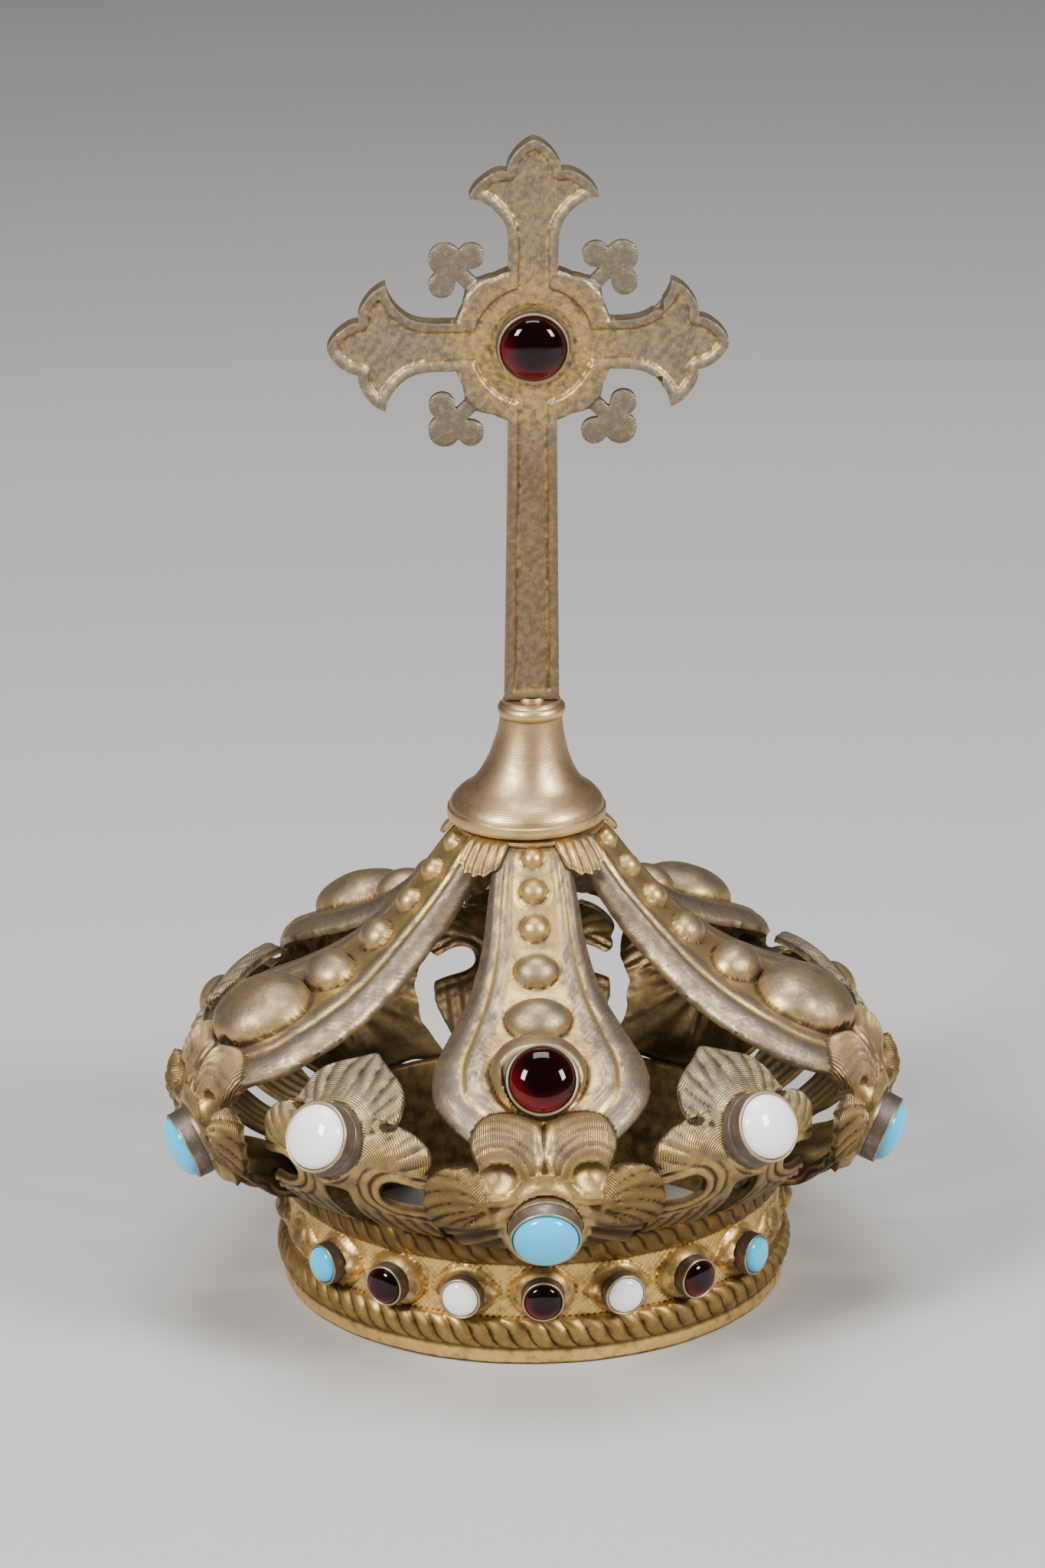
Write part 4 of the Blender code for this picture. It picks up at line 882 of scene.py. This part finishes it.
def circletSurface():
    # radius over height and angle: the rim less a bell at each border; on the ropes a leaning
    # strand, the root of 1 less the square of its phase, times a power of a sine of the
    # height; on the ground half ellipsoids and pointed ovals, the latter powers of 1 less the
    # height over a bow; the inside is a plain profile
    columns = circlet["columns"]
    rimTop, ropeTop = circlet["rimTop"], circlet["lowerRopeTop"]
    ropeFoot, top = circlet["upperRopeFoot"], circlet["height"]
    az = 2 * math.pi * np.arange(columns) / columns
    z = np.concatenate([np.linspace(0, rimTop, 6), np.linspace(rimTop, ropeTop, 19)[1:],
                        np.linspace(ropeTop, ropeFoot, circlet["groundRows"])[1:],
                        np.linspace(ropeFoot, top, 17)[1:]])
    a, zz = np.meshgrid(az, z)
    r = np.full_like(zz, circlet["ground"])
    raised = np.zeros_like(zz)
    recess = np.full_like(zz, 0.9)
    # plain rim with small dents
    onRim = zz < rimTop + 0.1
    r = np.where(onRim, circlet["rim"] - 0.35 * hump(zz, 0, 0.4) - 0.15 * hump(zz, rimTop, 0.4), r)
    r += onRim * 0.08 * wavyNoise(a * 48, zz, 12, 11.0)
    # ropes: rounded strands that lean; one strand's pitch over the rope's height
    for low, high, crest in ((rimTop, ropeTop, 1.75), (ropeFoot, top, 1.15)):
        s = (zz - low) / (high - low)
        on = (s > 0) & (s < 1)
        sc = np.clip(s, 0, 1)
        lean = 1.35 * sc + 0.12 * np.sin(2 * math.pi * sc)
        phase = a * circlet["strands"] / (2 * math.pi) + lean
        part = (phase % 1.0) * 2 - 1
        strand = np.sqrt(np.clip(1 - 0.97 * part ** 2, 0, 1))
        swell = np.sin(math.pi * sc) ** 0.55
        body = circlet["ground"] + 0.3 + swell * (crest * (0.35 + 0.65 * strand))
        r = np.where(on, body, r)
        raised = np.where(on, strand * swell * 0.9, raised)
        recess = np.where(on, 0.9 - strand * 0.6, recess)
    # stamped ground: bosses behind garnets, pointed ovals elsewhere
    index = np.round(a / (2 * math.pi) * circlet["motifs"])
    u = (a - index * 2 * math.pi / circlet["motifs"]) * circlet["ground"]
    index = np.where(index > circlet["motifs"] / 2, index - circlet["motifs"], index)
    v = zz - circlet["motifZ"]
    ground = (zz >= ropeTop) & (zz <= ropeFoot)
    stone = np.abs(index) <= 3
    roundSeat = stone & (np.abs(index) % 2 == 0)
    q = np.hypot(u / 6.1, v / 5.2)
    ball = 3.3 * np.sqrt(np.clip(1 - q * q, 0, 1))
    bow = 4.3 * (1 - np.abs(u / 6.9) ** 1.6)
    inside = np.clip(1 - np.abs(v) / np.maximum(bow, 0.01), 0, 1) * (np.abs(u) < 6.9)
    oval = 1.5 * inside ** 0.6 + 0.9 * np.clip(1 - np.hypot(u / 3.6, v / 3.0) ** 2, 0, 1) ** 0.6
    # under a stone the oval is fuller
    held = 1.6 * inside ** 0.5 + 1.6 * np.sqrt(np.clip(1 - np.hypot(u / 5.6, v / 5.0) ** 2, 0, 1))
    oval = np.where(stone, held, oval)
    motif = np.where(roundSeat, ball, oval)
    between = 0.5 * np.exp(-((np.abs(u) - 7.18) / 0.6) ** 2) * np.clip(1 - np.abs(v) / 4.5, 0, 1)
    lift = np.maximum(motif, between)
    flatSeat = circlet["seat"] / np.cos(u / circlet["ground"]) - circlet["ground"]
    near = np.hypot(u, v)
    lift = np.where(stone & (near <= 3.8), flatSeat, lift)
    knurl = np.sin(u * 2 * math.pi / 1.2) * np.sin(v * 2 * math.pi / 1.2) * (lift < 0.4)
    r = np.where(ground, circlet["ground"] + lift + 0.14 * knurl, r)
    raised = np.where(ground, np.clip(lift / 2.2, 0, 1) * 0.8, raised)
    recess = np.where(ground, 1.0 - 0.5 * np.clip(lift, 0, 1), recess)
    r = r - 0.25 * hump(zz, top, 0.3)
    outer = np.stack([r * np.sin(a), -r * np.cos(a), zz], -1)
    # inside: plain, from the top edge down to the foot
    bore = circlet["bore"]
    inner = turned([(47.3, top + 0.15), (46.5, top), (bore, 25.2), (bore, 18), (bore, 10), (bore, 3),
                    (bore, 0.3), (46.5, 0.0), (47.4, 0.0), (48.2, 0.0)], columns)[0]
    verts = np.concatenate([outer, inner]).reshape(-1, 3)
    rows = outer.shape[0] + inner.shape[0]
    pad = np.zeros((inner.shape[0], columns))
    level = np.where(ground & stone & (near < 5.2), circlet["ground"] + 1.2, r)
    cavity = cavityOf(level.ravel(), tube(len(z), columns), 0.3)
    # painted shade: darker, deeper gold on the ropes, most on the upper rope under the dome's overhang
    under = table(zz, [0, 3, 3.4, 9, 9.6, 19.6, 20.4, 25], [0.0, 0.0, 0.9, 1.0, 0.0, 0.1, 1.3, 1.5])
    cavity = cavity * np.where(ground, 0.3, 1.0).ravel() - 0.35 * (ground * knurl).ravel()
    # painted shade in the ropes, most on the upper rope under the dome's overhang
    cavity += table(zz, [3, 3.6, 9, 9.6, 19.8, 20.4, 25], [0, 0.3, 0.3, 0, 0, 0.9, 1.1]).ravel()
    # the inside: painted shade through its cavity and shade values
    values = {"cavity": np.concatenate([cavity, pad.ravel() + 1.1 * (inner[..., 2].ravel() > 1)]),
              "shade": np.concatenate([under, pad + 0.5]).ravel(),
              "raised": np.concatenate([raised, pad + 0.4]).ravel(),
              "recess": np.concatenate([recess, pad + 0.3]).ravel()}
    return verts, tube(rows, columns, True), values


mesh = writeMesh("roped_circlet", *circletSurface())
addPiece("roped_circlet", mesh, gildedBand, ["circlet"])
print("circlet made")

# Socket and all that stands above it lean a little to the right

leanStations = [0, 90, 92.5, 98, 113.8, 185.1, 224]
leanShift = [0, 0, -0.55, -0.35, 0.65, 1.6, 2.2]


def leanAt(z):
    # shift to the right at a height, straight between the stations
    return np.interp(z, leanStations, leanShift)


socket = {
    "profile": [(0.02, 92.5), (14.7, 92.5), (14.7, 92.5), (15.05, 92.75), (15.05, 92.75), (15.2, 93.5),
                (15.1, 94.5), (15.1, 94.5), (14.75, 94.7), (14.75, 94.7), (14.5, 95.7), (13.9, 96.6),
                (12.9, 97.6), (11.8, 98.35), (10.7, 99.3), (9.7, 100.6), (8.8, 102.1), (8.0, 103.8),
                (7.4, 105.4), (6.98, 106.9), (6.55, 108.5), (6.2, 110.2), (5.98, 111.8), (5.9, 112.6),
                (5.9, 112.6), (6.2, 112.9), (6.42, 113.4), (6.48, 113.9), (6.38, 114.4),
                (6.1, 114.85), (5.8, 115.0), (5.8, 115.0), (5.55, 115.3), (5.4, 115.9), (5.4, 115.9),
                (3.0, 115.9), (3.0, 115.9), (2.8, 115.6), (2.8, 105), (0.02, 105)],
    "discRim": 93.6, "torus": 113.8, "toolMarks": 0.35, "columns": 128}
line = smoothLine(socket["profile"], 3)
verts, faces = turned(line, socket["columns"])
verts = verts.reshape(-1, 3)
height = verts[:, 2]
verts[:, 0] += leanAt(height)
radius = np.repeat(line[:, 0], socket["columns"])
polish = np.maximum(hump(height, socket["discRim"], 0.9) * (radius > 14.4),
                    hump(height, socket["torus"], 0.9) * (radius > 5.8))
joint = hump(height, 112.6, 0.35) + hump(height, 96.2, 0.8) * 0.3
values = {"cavity": joint, "raised": 0.4 * (1 - polish), "recess": polish * 1.2,
          "hatch": height * 2 * math.pi / socket["toolMarks"], "hatchMask": (1 - polish) * 0.25}
mesh = writeMesh("turned_socket", verts, faces, values)
addPiece("turned_socket", mesh, turnedBrass, ["socket"])

# Cap: leaf collar whose five ribbed tips lie over the arches' edges


cap = {"start": 0.9, "frontTips": 6.6, "otherTips": 3.6, "halfTip": 17.5, "ribs": 6.6,
       "stand": 1.15, "under": 0.35, "top": 92.15, "bottom": 91.3,
       "columns": 480, "rows": 26}


def capSurface():
    # the dome's surface from the start down to a reach that is, on a tip, a power root of 1
    # less the share of its half width, moved out by the stand and a cosine of the angle
    columns = cap["columns"]
    a = 2 * math.pi * np.arange(columns) / columns
    local = np.degrees(a) % 72 - 36
    x = np.abs(local) / cap["halfTip"]
    ribs = np.cos(local * 2 * math.pi / cap["ribs"])
    spread = np.where(np.cos(a) > 0.5, cap["frontTips"], cap["otherTips"])
    reach = np.where(x < 1, 1.3 + spread * np.sqrt(np.clip(1 - x ** 2.2, 0, 1)), 1.2)
    reach = reach + np.where(x < 1, 0.35 * ribs, 0)
    s = np.linspace(0, 1, cap["rows"])[:, None]
    wave = ribs * ease(0.1, 0.5, s) * (x < 1)
    stand = cap["stand"] + 0.28 * wave - 0.35 * ease(0.82, 1.0, s)
    r0, z0, nr, nz = domeAt(cap["start"] + s * reach)
    r = r0 + stand * nr
    top = np.stack([r * np.sin(a), -r * np.cos(a), np.minimum(z0 + stand * nz, cap["top"])], -1)
    r = r0 + cap["under"] * nr
    z = np.minimum(z0 + cap["under"] * nz, cap["bottom"] + 0.1)
    under = np.stack([r * np.sin(a), -r * np.cos(a), z], -1)[::-1]
    first, last = turned([(0.02, cap["top"]), (0.02, cap["bottom"])], columns)[0]
    verts = np.concatenate([first[None], top, under, last[None]])
    above = np.zeros((1, columns))
    below = np.zeros((cap["rows"] + 1, columns))
    values = {"cavity": np.concatenate([above, -wave, below]).ravel(),
              "raised": np.concatenate([above, 0.3 + 0.3 * wave, below + 0.3]).ravel(),
              "recess": np.full(verts.size // 3, 0.55)}
    return verts.reshape(-1, 3), tube(len(verts), columns)[:, ::-1], values


addPiece("leaf_cap", writeMesh("leaf_cap", *capSurface()), gildedArch, ["cap"])
print("socket and cap made")

# Cross: one plate with a raised border, a recessed ground, a ring and thin trefoils

cross = {
    "height": 185.1, "left": 38.2, "right": 36.5, "up": 39.0, "foot": 116.2, "disc": 15.0, "arm": 4.6,
    "fleur": [(0, 0), (0, 0), (0.5, 1.2), (1.6, 2.7), (2.9, 3.8), (4.4, 4.7), (5.9, 5.0), (5.9, 5.0),
              (5.8, 6.2), (6.4, 8.0), (7.9, 10.1), (9.3, 11.3), (10.9, 12.1), (10.9, 12.1), (11.1, 10.6),
              (11.9, 8.9), (13.2, 7.2), (15.2, 5.6), (17.4, 4.85), (20.0, 4.6)],
    "shaftTop": 4.5, "shaftFoot": 5.15, "plate": 2.5, "ground": 1.35, "strip": 1.7,
    "grid": 0.33}


def trefoilLine(angle):
    # outline of three touching lobes as seen from their middle, and the stem's two sides
    phi = np.radians(np.linspace(-158, 158, 90))
    away = np.zeros_like(phi)
    for cx, cy, cr in ((2.0, 0, 3.0), (-1.1, 3.8, 2.45), (-1.1, -3.8, 2.45)):
        b = cx * np.cos(phi) + cy * np.sin(phi)
        c = cx * cx + cy * cy - cr * cr
        away = np.maximum(away, b + np.sqrt(np.clip(b * b - c, 0, None)) * (b * b > c))
    x = 21.2 + away * np.cos(phi)
    y = away * np.sin(phi)
    keep = (np.abs(y) > 1.35) | (x > 21)
    x, y = x[keep], y[keep]
    x = np.concatenate([[14.6, 15.6, 16.4], x, [16.4, 15.6, 14.6]])
    y = np.concatenate([[-3.9, -2.4, -1.4], y, [1.4, 2.4, 3.9]])
    return np.stack([x * math.cos(angle) - y * math.sin(angle),
                     x * math.sin(angle) + y * math.cos(angle)], -1)


def crossLoop():
    # the three fleur ends, the shaft and four trefoils, joined along the disc's rim
    root = math.sqrt(cross["disc"] ** 2 - cross["arm"] ** 2)
    drop = cross["height"] - cross["foot"]
    end = smoothLine(cross["fleur"], 4)
    parts = []
    arms = (((1, 0), "right"), ((0, 1), "up"), ((-1, 0), "left"))
    for k, (d, side) in enumerate(arms):
        d = np.array(d)
        reach = cross[side]
        s = np.array([-d[1], d[0]])
        high = d * (reach - end[:, :1]) + s * end[:, 1:]
        low = (d * (reach - end[:, :1]) - s * end[:, 1:])[::-1]
        parts += [[d * root - s * cross["arm"]], low, high[1:], [d * root + s * cross["arm"]]]
        first = math.atan2(*(d * root + s * cross["arm"])[::-1])
        parts += arcPast(first, math.radians(45 + 90 * k))
    foot = [(-cross["shaftTop"], -root), (-cross["shaftFoot"], -drop), (cross["shaftFoot"], -drop),
            (cross["shaftTop"], -root)]
    parts += [foot] + arcPast(math.atan2(-root, cross["arm"]), math.radians(-45))
    return np.concatenate([np.array(p, float) for p in parts])


def arcPast(first, middle):
    # the disc's rim up to a trefoil, the trefoil, and the rim on the far side
    gap = 0.27
    span = (middle - first) % (2 * math.pi)
    before = first + np.linspace(0.02, span - gap, 8)
    after = middle + np.linspace(gap, span - 0.02, 8)
    r = cross["disc"]
    return [np.stack([r * np.cos(before), r * np.sin(before)], -1), trefoilLine(middle),
            np.stack([r * np.cos(after), r * np.sin(after)], -1)]


def crossShape(x, y, loop):
    # front and back heights over the middle plane: plate, border and fields blended by smooth
    # steps of the distance from the edge, less a falling exponential at the edge itself
    away = np.hypot(x, y)
    edge = nearest(np.stack([x, y], -1), loop, True)[0]
    diagonal = np.minimum(np.abs(x), np.abs(y))
    farther = np.maximum(np.abs(x), np.abs(y))
    thin = ease(15.2, 16.6, away) * (diagonal > 6.3) * (away < 29) * (farther < 24)
    strip = cross["strip"]
    grain = 0.06 * wavyNoise(x, y, 21, 1.5) + 0.05 * wavyNoise(x, y, 22, 0.8)
    # the arms' borders run on across the disc as far as its inner step
    margin = np.where(away < 15.6, cross["arm"] - diagonal, edge)
    level = cross["plate"] - 0.5 * np.clip(margin / strip, 0, 1) ** 1.5 * (margin > 0)
    inField = ease(strip, strip + 0.3, margin)
    h = level * (1 - inField) + (cross["ground"] + grain) * inField
    between = (away < 15.6) & (margin <= 0)
    h = np.where(between, cross["plate"] - 0.35 + 0.15 * ease(14.9, 14.2, away), h)
    h = h + between * (0.10 * hump(away, 12.0, 0.5) + 0.4 * grain)
    # inside the step the ground is granular, and flat below the setting
    granule = 0.16 * np.clip(wavyNoise(x, y, 23, 1.4), -0.5, 1)
    inner = 1 - ease(11.1, 11.5, away)
    h = h * (1 - inner) + (cross["ground"] + 0.15 + granule) * inner
    h = np.where(away < 7.9, cross["ground"], h)
    h = h - 0.25 * np.exp(-edge / 0.25)
    h = h * (1 - thin) + (1.0 - 0.25 * np.exp(-edge / 0.4) + 0.02 * wavyNoise(x, y, 24, 1.2)) * thin
    # brown-grey fields with gold flecks, greener borders, gold round the setting, and a painted highlight
    # in gold along each field's step
    fleck = wavyNoise(x * 3.0, y * 1.6, 27, 2.4) + 0.6 * wavyNoise(x * 3.0, y * 2.0, 28, 1.1)
    raised = np.where(thin > 0.5, 0.95, (1 - inField) * 0.85 + (0.55 + 0.35 * fleck) * inField)
    raised = raised * (1 - 0.75 * np.exp(-(np.maximum(away - 7, 0) / 6.0) ** 2))
    recess = np.where(thin > 0.5, 0.0, 0.20 + 1.0 * np.exp(-(np.maximum(away - 7, 0) / 6.5) ** 2)
                      + 0.6 * hump(margin, strip + 0.2, 0.5))
    back = cross["plate"] * (1 - thin) + 1.0 * thin - 0.25 * np.exp(-edge / 0.3)
    values = {"raised": raised, "recess": recess, "hatch": (x * 0.5 + y) * 2 * math.pi / 0.5,
              "hatchMask": 0.25 * thin}
    return h, back, values


loop = crossLoop()
flat, quads, border = trimmedGrid(loop, cross["grid"])
front, back, values = crossShape(flat[:, 0], flat[:, 1], loop)
values["cavity"] = 0.22 * cavityOf(front, quads, cross["grid"])
# painted shade: the shaft darker toward its foot
values["shade"] = 0.6 * ease(-13, -26, flat[:, 1])
z = cross["height"] + flat[:, 1]
x = flat[:, 0] + leanAt(z)
verts = np.concatenate([np.stack([x, -front, z], -1), np.stack([x, back, z], -1)])
faces = sheetFaces(quads, border, len(flat))
# the back: values not listed take 0.4, painted shade among them
crossBack = {"recess": 0.2, "hatchMask": 0.0, "cavity": 0.0}
values = {key: np.concatenate([value, np.full(len(flat), crossBack.get(key, 0.4))])
          for key, value in values.items()}
mesh = writeMesh("budded_cross", verts, faces, values)
addPiece("budded_cross", mesh, gildedCross, ["cross"])
print("cross made")

# Settings and stones, each about its own outward axis

# material, slot, and how strong the painted light and shade inside the rim is
stoneKinds = {"turquoise": (turquoiseGlass, "turquoise_glass", 0.8),
              "white": (whiteGlass, "white_glass", 0.4),
              "garnet": (garnetGlass, "garnet_glass", 0.5)}
# the stone's radius and rise, and the collet's wall; then the small collets' depth, their
# foot's radius, and how far from the crown's axis the small stones lie
jewels = {
    "large": {"radius": 6.1, "rise": 3.3, "wall": 0.6, "columns": 72},
    "small": {"radius": 3.5, "rise": 1.7, "wall": 0.5, "columns": 48},
    "smallDepth": 1.9, "smallFoot": 4.05, "smallAt": 52.4}


def placeOut(points, r, z, elevation, azimuth, shift):
    # local up turned to the outward axis at an elevation, then round the crown's axis
    e = math.radians(elevation)
    side = np.array([1.0, 0, 0])
    axis = np.array([0, -math.cos(e), math.sin(e)])
    rise = np.cross(axis, side)
    local = points[..., :1] * side - points[..., 1:2] * rise + points[..., 2:] * axis
    return turnAbout(local + np.array([shift, -r, z]), azimuth)


def jewel(key, kind, size, depth, foot, at, azimuth, shift=0.0):
    # collet and stone as turned profiles; the stone's is a quarter turn, its radius times
    # the 0.9th power of the cosine against its rise times the sine
    radius, rise, columns = jewels[size]["radius"], jewels[size]["rise"], jewels[size]["columns"]
    outer = radius + jewels[size]["wall"]
    back = -depth
    profile = [(0.02, back), (foot - 0.3, back), (foot, back + 0.3)]
    if depth > 3:
        mid = back + 0.5 * depth
        profile += [(foot + 0.12, back + 0.25 * depth), (foot + 0.02, mid - 0.2), (outer + 0.02, mid),
                    (outer + 0.02, mid), (outer + 0.1, mid + 0.5)]
    profile += [(outer, -0.3), (outer, 0.25), (outer - 0.12, 0.48), (outer - 0.3, 0.52),
                (radius + 0.02, 0.36), (radius - 0.05, 0.1), (radius - 0.05, -0.9), (radius - 0.05, -0.9),
                (0.02, -0.9)]
    verts, faces = turned(smoothLine(profile, 3), columns)
    place = verts.reshape(-1, 3)
    height = place[:, 2]
    rim = np.clip(hump(height, 0.5, 0.22), 0, 1)
    # the lower half of a turquoise's collet is gilded
    gold = 0.0
    if depth > 3 and kind == "turquoise":
        gold = ease(-0.5 * depth + 0.1, -0.5 * depth - 0.3, height)
    values = {"raised": 0.9 - 0.9 * rim - 0.6 * gold, "recess": 1.6 * rim + 1.1 * gold,
              "cavity": 1.2 * hump(height, back, 0.8) - 1.2 * rim}
    mesh = writeMesh(f"collet_{key}", placeOut(place, *at, azimuth, shift), faces[:, ::-1], values)
    addPiece(f"collet_{key}", mesh, darkMetal, [f"setting_{key}"])
    s = np.linspace(0, 1, 22)
    dome = [(0.02, -0.6), (radius - 0.35, -0.6), (radius - 0.15, -0.3), (radius - 0.12, 0.2)]
    dome += [((radius - 0.12) * math.cos(v) ** 0.9 + 0.02, 0.25 + (rise - 0.25) * math.sin(v))
             for v in s[1:] * math.pi / 2]
    verts, faces = turned(dome, columns)
    local = verts.reshape(-1, 3)
    # painted light and shade inside the rim on the side away from the lamps, low and to the left: red
    # light in the garnet, a darker blue shade in the turquoise
    q = np.hypot(local[:, 0], local[:, 1]) / radius
    toward = (-0.45 * local[:, 0] + 0.9 * local[:, 1]) / radius
    material, slot, rimLightShade = stoneKinds[kind]
    rimLightShade = ease(0.4, 1.0, q) * ease(-0.3, 0.9, toward) * rimLightShade
    mesh = writeMesh(f"cabochon_{key}", placeOut(local, *at, azimuth, shift), faces[:, ::-1],
                     {"rimLightShade": rimLightShade})
    addPiece(f"cabochon_{key}", mesh, material, [f"stone_{key}"])


# after the size: the collet's depth and its foot's radius, the place, and the degrees round
jewel("garnet_arch", "garnet", "large", 2.0, 6.7, seats["garnet"]["place"], 0)
jewel("turquoise_front", "turquoise", "large", 5.0, 6.8, seats["turquoise"]["place"], 0)
jewel("turquoise_left", "turquoise", "large", 5.0, 6.8, seats["turquoise"]["place"], -72)
jewel("turquoise_right", "turquoise", "large", 5.0, 6.8, seats["turquoise"]["place"], 72)
jewel("white_left", "white", "large", 5.4, 6.8, seats["white"]["place"], -36)
jewel("white_right", "white", "large", 5.4, 6.8, seats["white"]["place"], 36)
jewel("garnet_cross", "garnet", "large", 1.6, 6.7, (3.6, cross["height"], 0), 0,
      float(leanAt(cross["height"])))
smallStones = ("turquoise_small_left", "garnet_small_left", "white_small_left", "garnet_small_middle",
               "white_small_right", "garnet_small_right", "turquoise_small_right")
for index, key in enumerate(smallStones, -3):
    jewel(key, key.split("_")[0], "small", jewels["smallDepth"], jewels["smallFoot"],
          (jewels["smallAt"], circlet["motifZ"], 0), index * 360 / circlet["motifs"])
print("jewels made")

# Floor, camera and light

floorMesh = bpy.data.meshes.new("floor")
floorMesh.from_pydata([(-6, -6, 0), (6, -6, 0), (6, 6, 0), (-6, 6, 0)], [], [(0, 1, 2, 3)])
floor = bpy.data.objects.new("floor", floorMesh)
bpy.context.scene.collection.objects.link(floor)
floor.location.z = -0.0002
pale = bpy.data.materials.new("paleFloor")
_, _, shader = makeNodes(pale)
shader.inputs["Base Color"].default_value = (0.48, 0.47, 0.46, 1)
shader.inputs["Roughness"].default_value = 0.7
floorMesh.materials.append(pale)

# the camera that was fitted to the photograph, its focal length in pixels of 1365 by 2048
view = {"focal": 7820.0, "distance": 1139.0, "elevation": math.radians(19.07), "aim": (-1.23, 0, 98.6),
        "roll": math.radians(-0.65), "turn": -1.7}
e = view["elevation"]
back = np.array([0, -math.cos(e), math.sin(e)])
place = np.array(view["aim"]) + view["distance"] * back
right = np.array([1.0, 0, 0])
up = np.cross(right, -back)
c, s = math.cos(view["roll"]), math.sin(view["roll"])
axes = np.stack([c * right + s * up, -s * right + c * up, back])
axes = turnAbout(axes, view["turn"])
place = (turnAbout(place[None], view["turn"])[0] + axisBack) * 0.001
camera = bpy.data.objects.new("camera", bpy.data.cameras.new("camera"))
bpy.context.scene.collection.objects.link(camera)
camera.matrix_world = Matrix([[*axes[:, i], place[i]] for i in range(3)] + [[0, 0, 0, 1]])
camera.data.sensor_width = 36
camera.data.sensor_fit = "AUTO"
camera.data.lens = view["focal"] * 36 / 2048
camera.data.clip_start = 0.05
bpy.context.scene.camera = camera


def addLight(name, place, aim, size, power, color=(1, 1, 1)):
    # a soft rectangle of light turned toward its aim
    light = bpy.data.lights.new(name, "AREA")
    light.shape = "RECTANGLE"
    light.size, light.size_y = size
    light.energy = power
    light.color = color
    obj = bpy.data.objects.new(name, light)
    bpy.context.scene.collection.objects.link(obj)
    obj.location = place
    obj.rotation_euler = (Vector(aim) - Vector(place)).to_track_quat("-Z", "Y").to_euler()


addLight("keyLeft", (-0.75, -0.75, 0.85), (0, 0, 0.08), (0.30, 0.42), 24, (1, 0.97, 0.93))
addLight("fillRight", (0.85, -0.65, 0.75), (0, 0, 0.08), (0.30, 0.42), 18.5, (1, 0.97, 0.93))
addLight("topSoft", (0.0, 0.1, 1.2), (0, 0, 0.08), (0.6, 0.6), 11)
world = bpy.data.worlds.new("softWorld")
bpy.context.scene.world = world
world.use_nodes = True
world.node_tree.nodes["Background"].inputs["Color"].default_value = (0.55, 0.56, 0.58, 1)
world.node_tree.nodes["Background"].inputs["Strength"].default_value = 0.14
print("stage made")
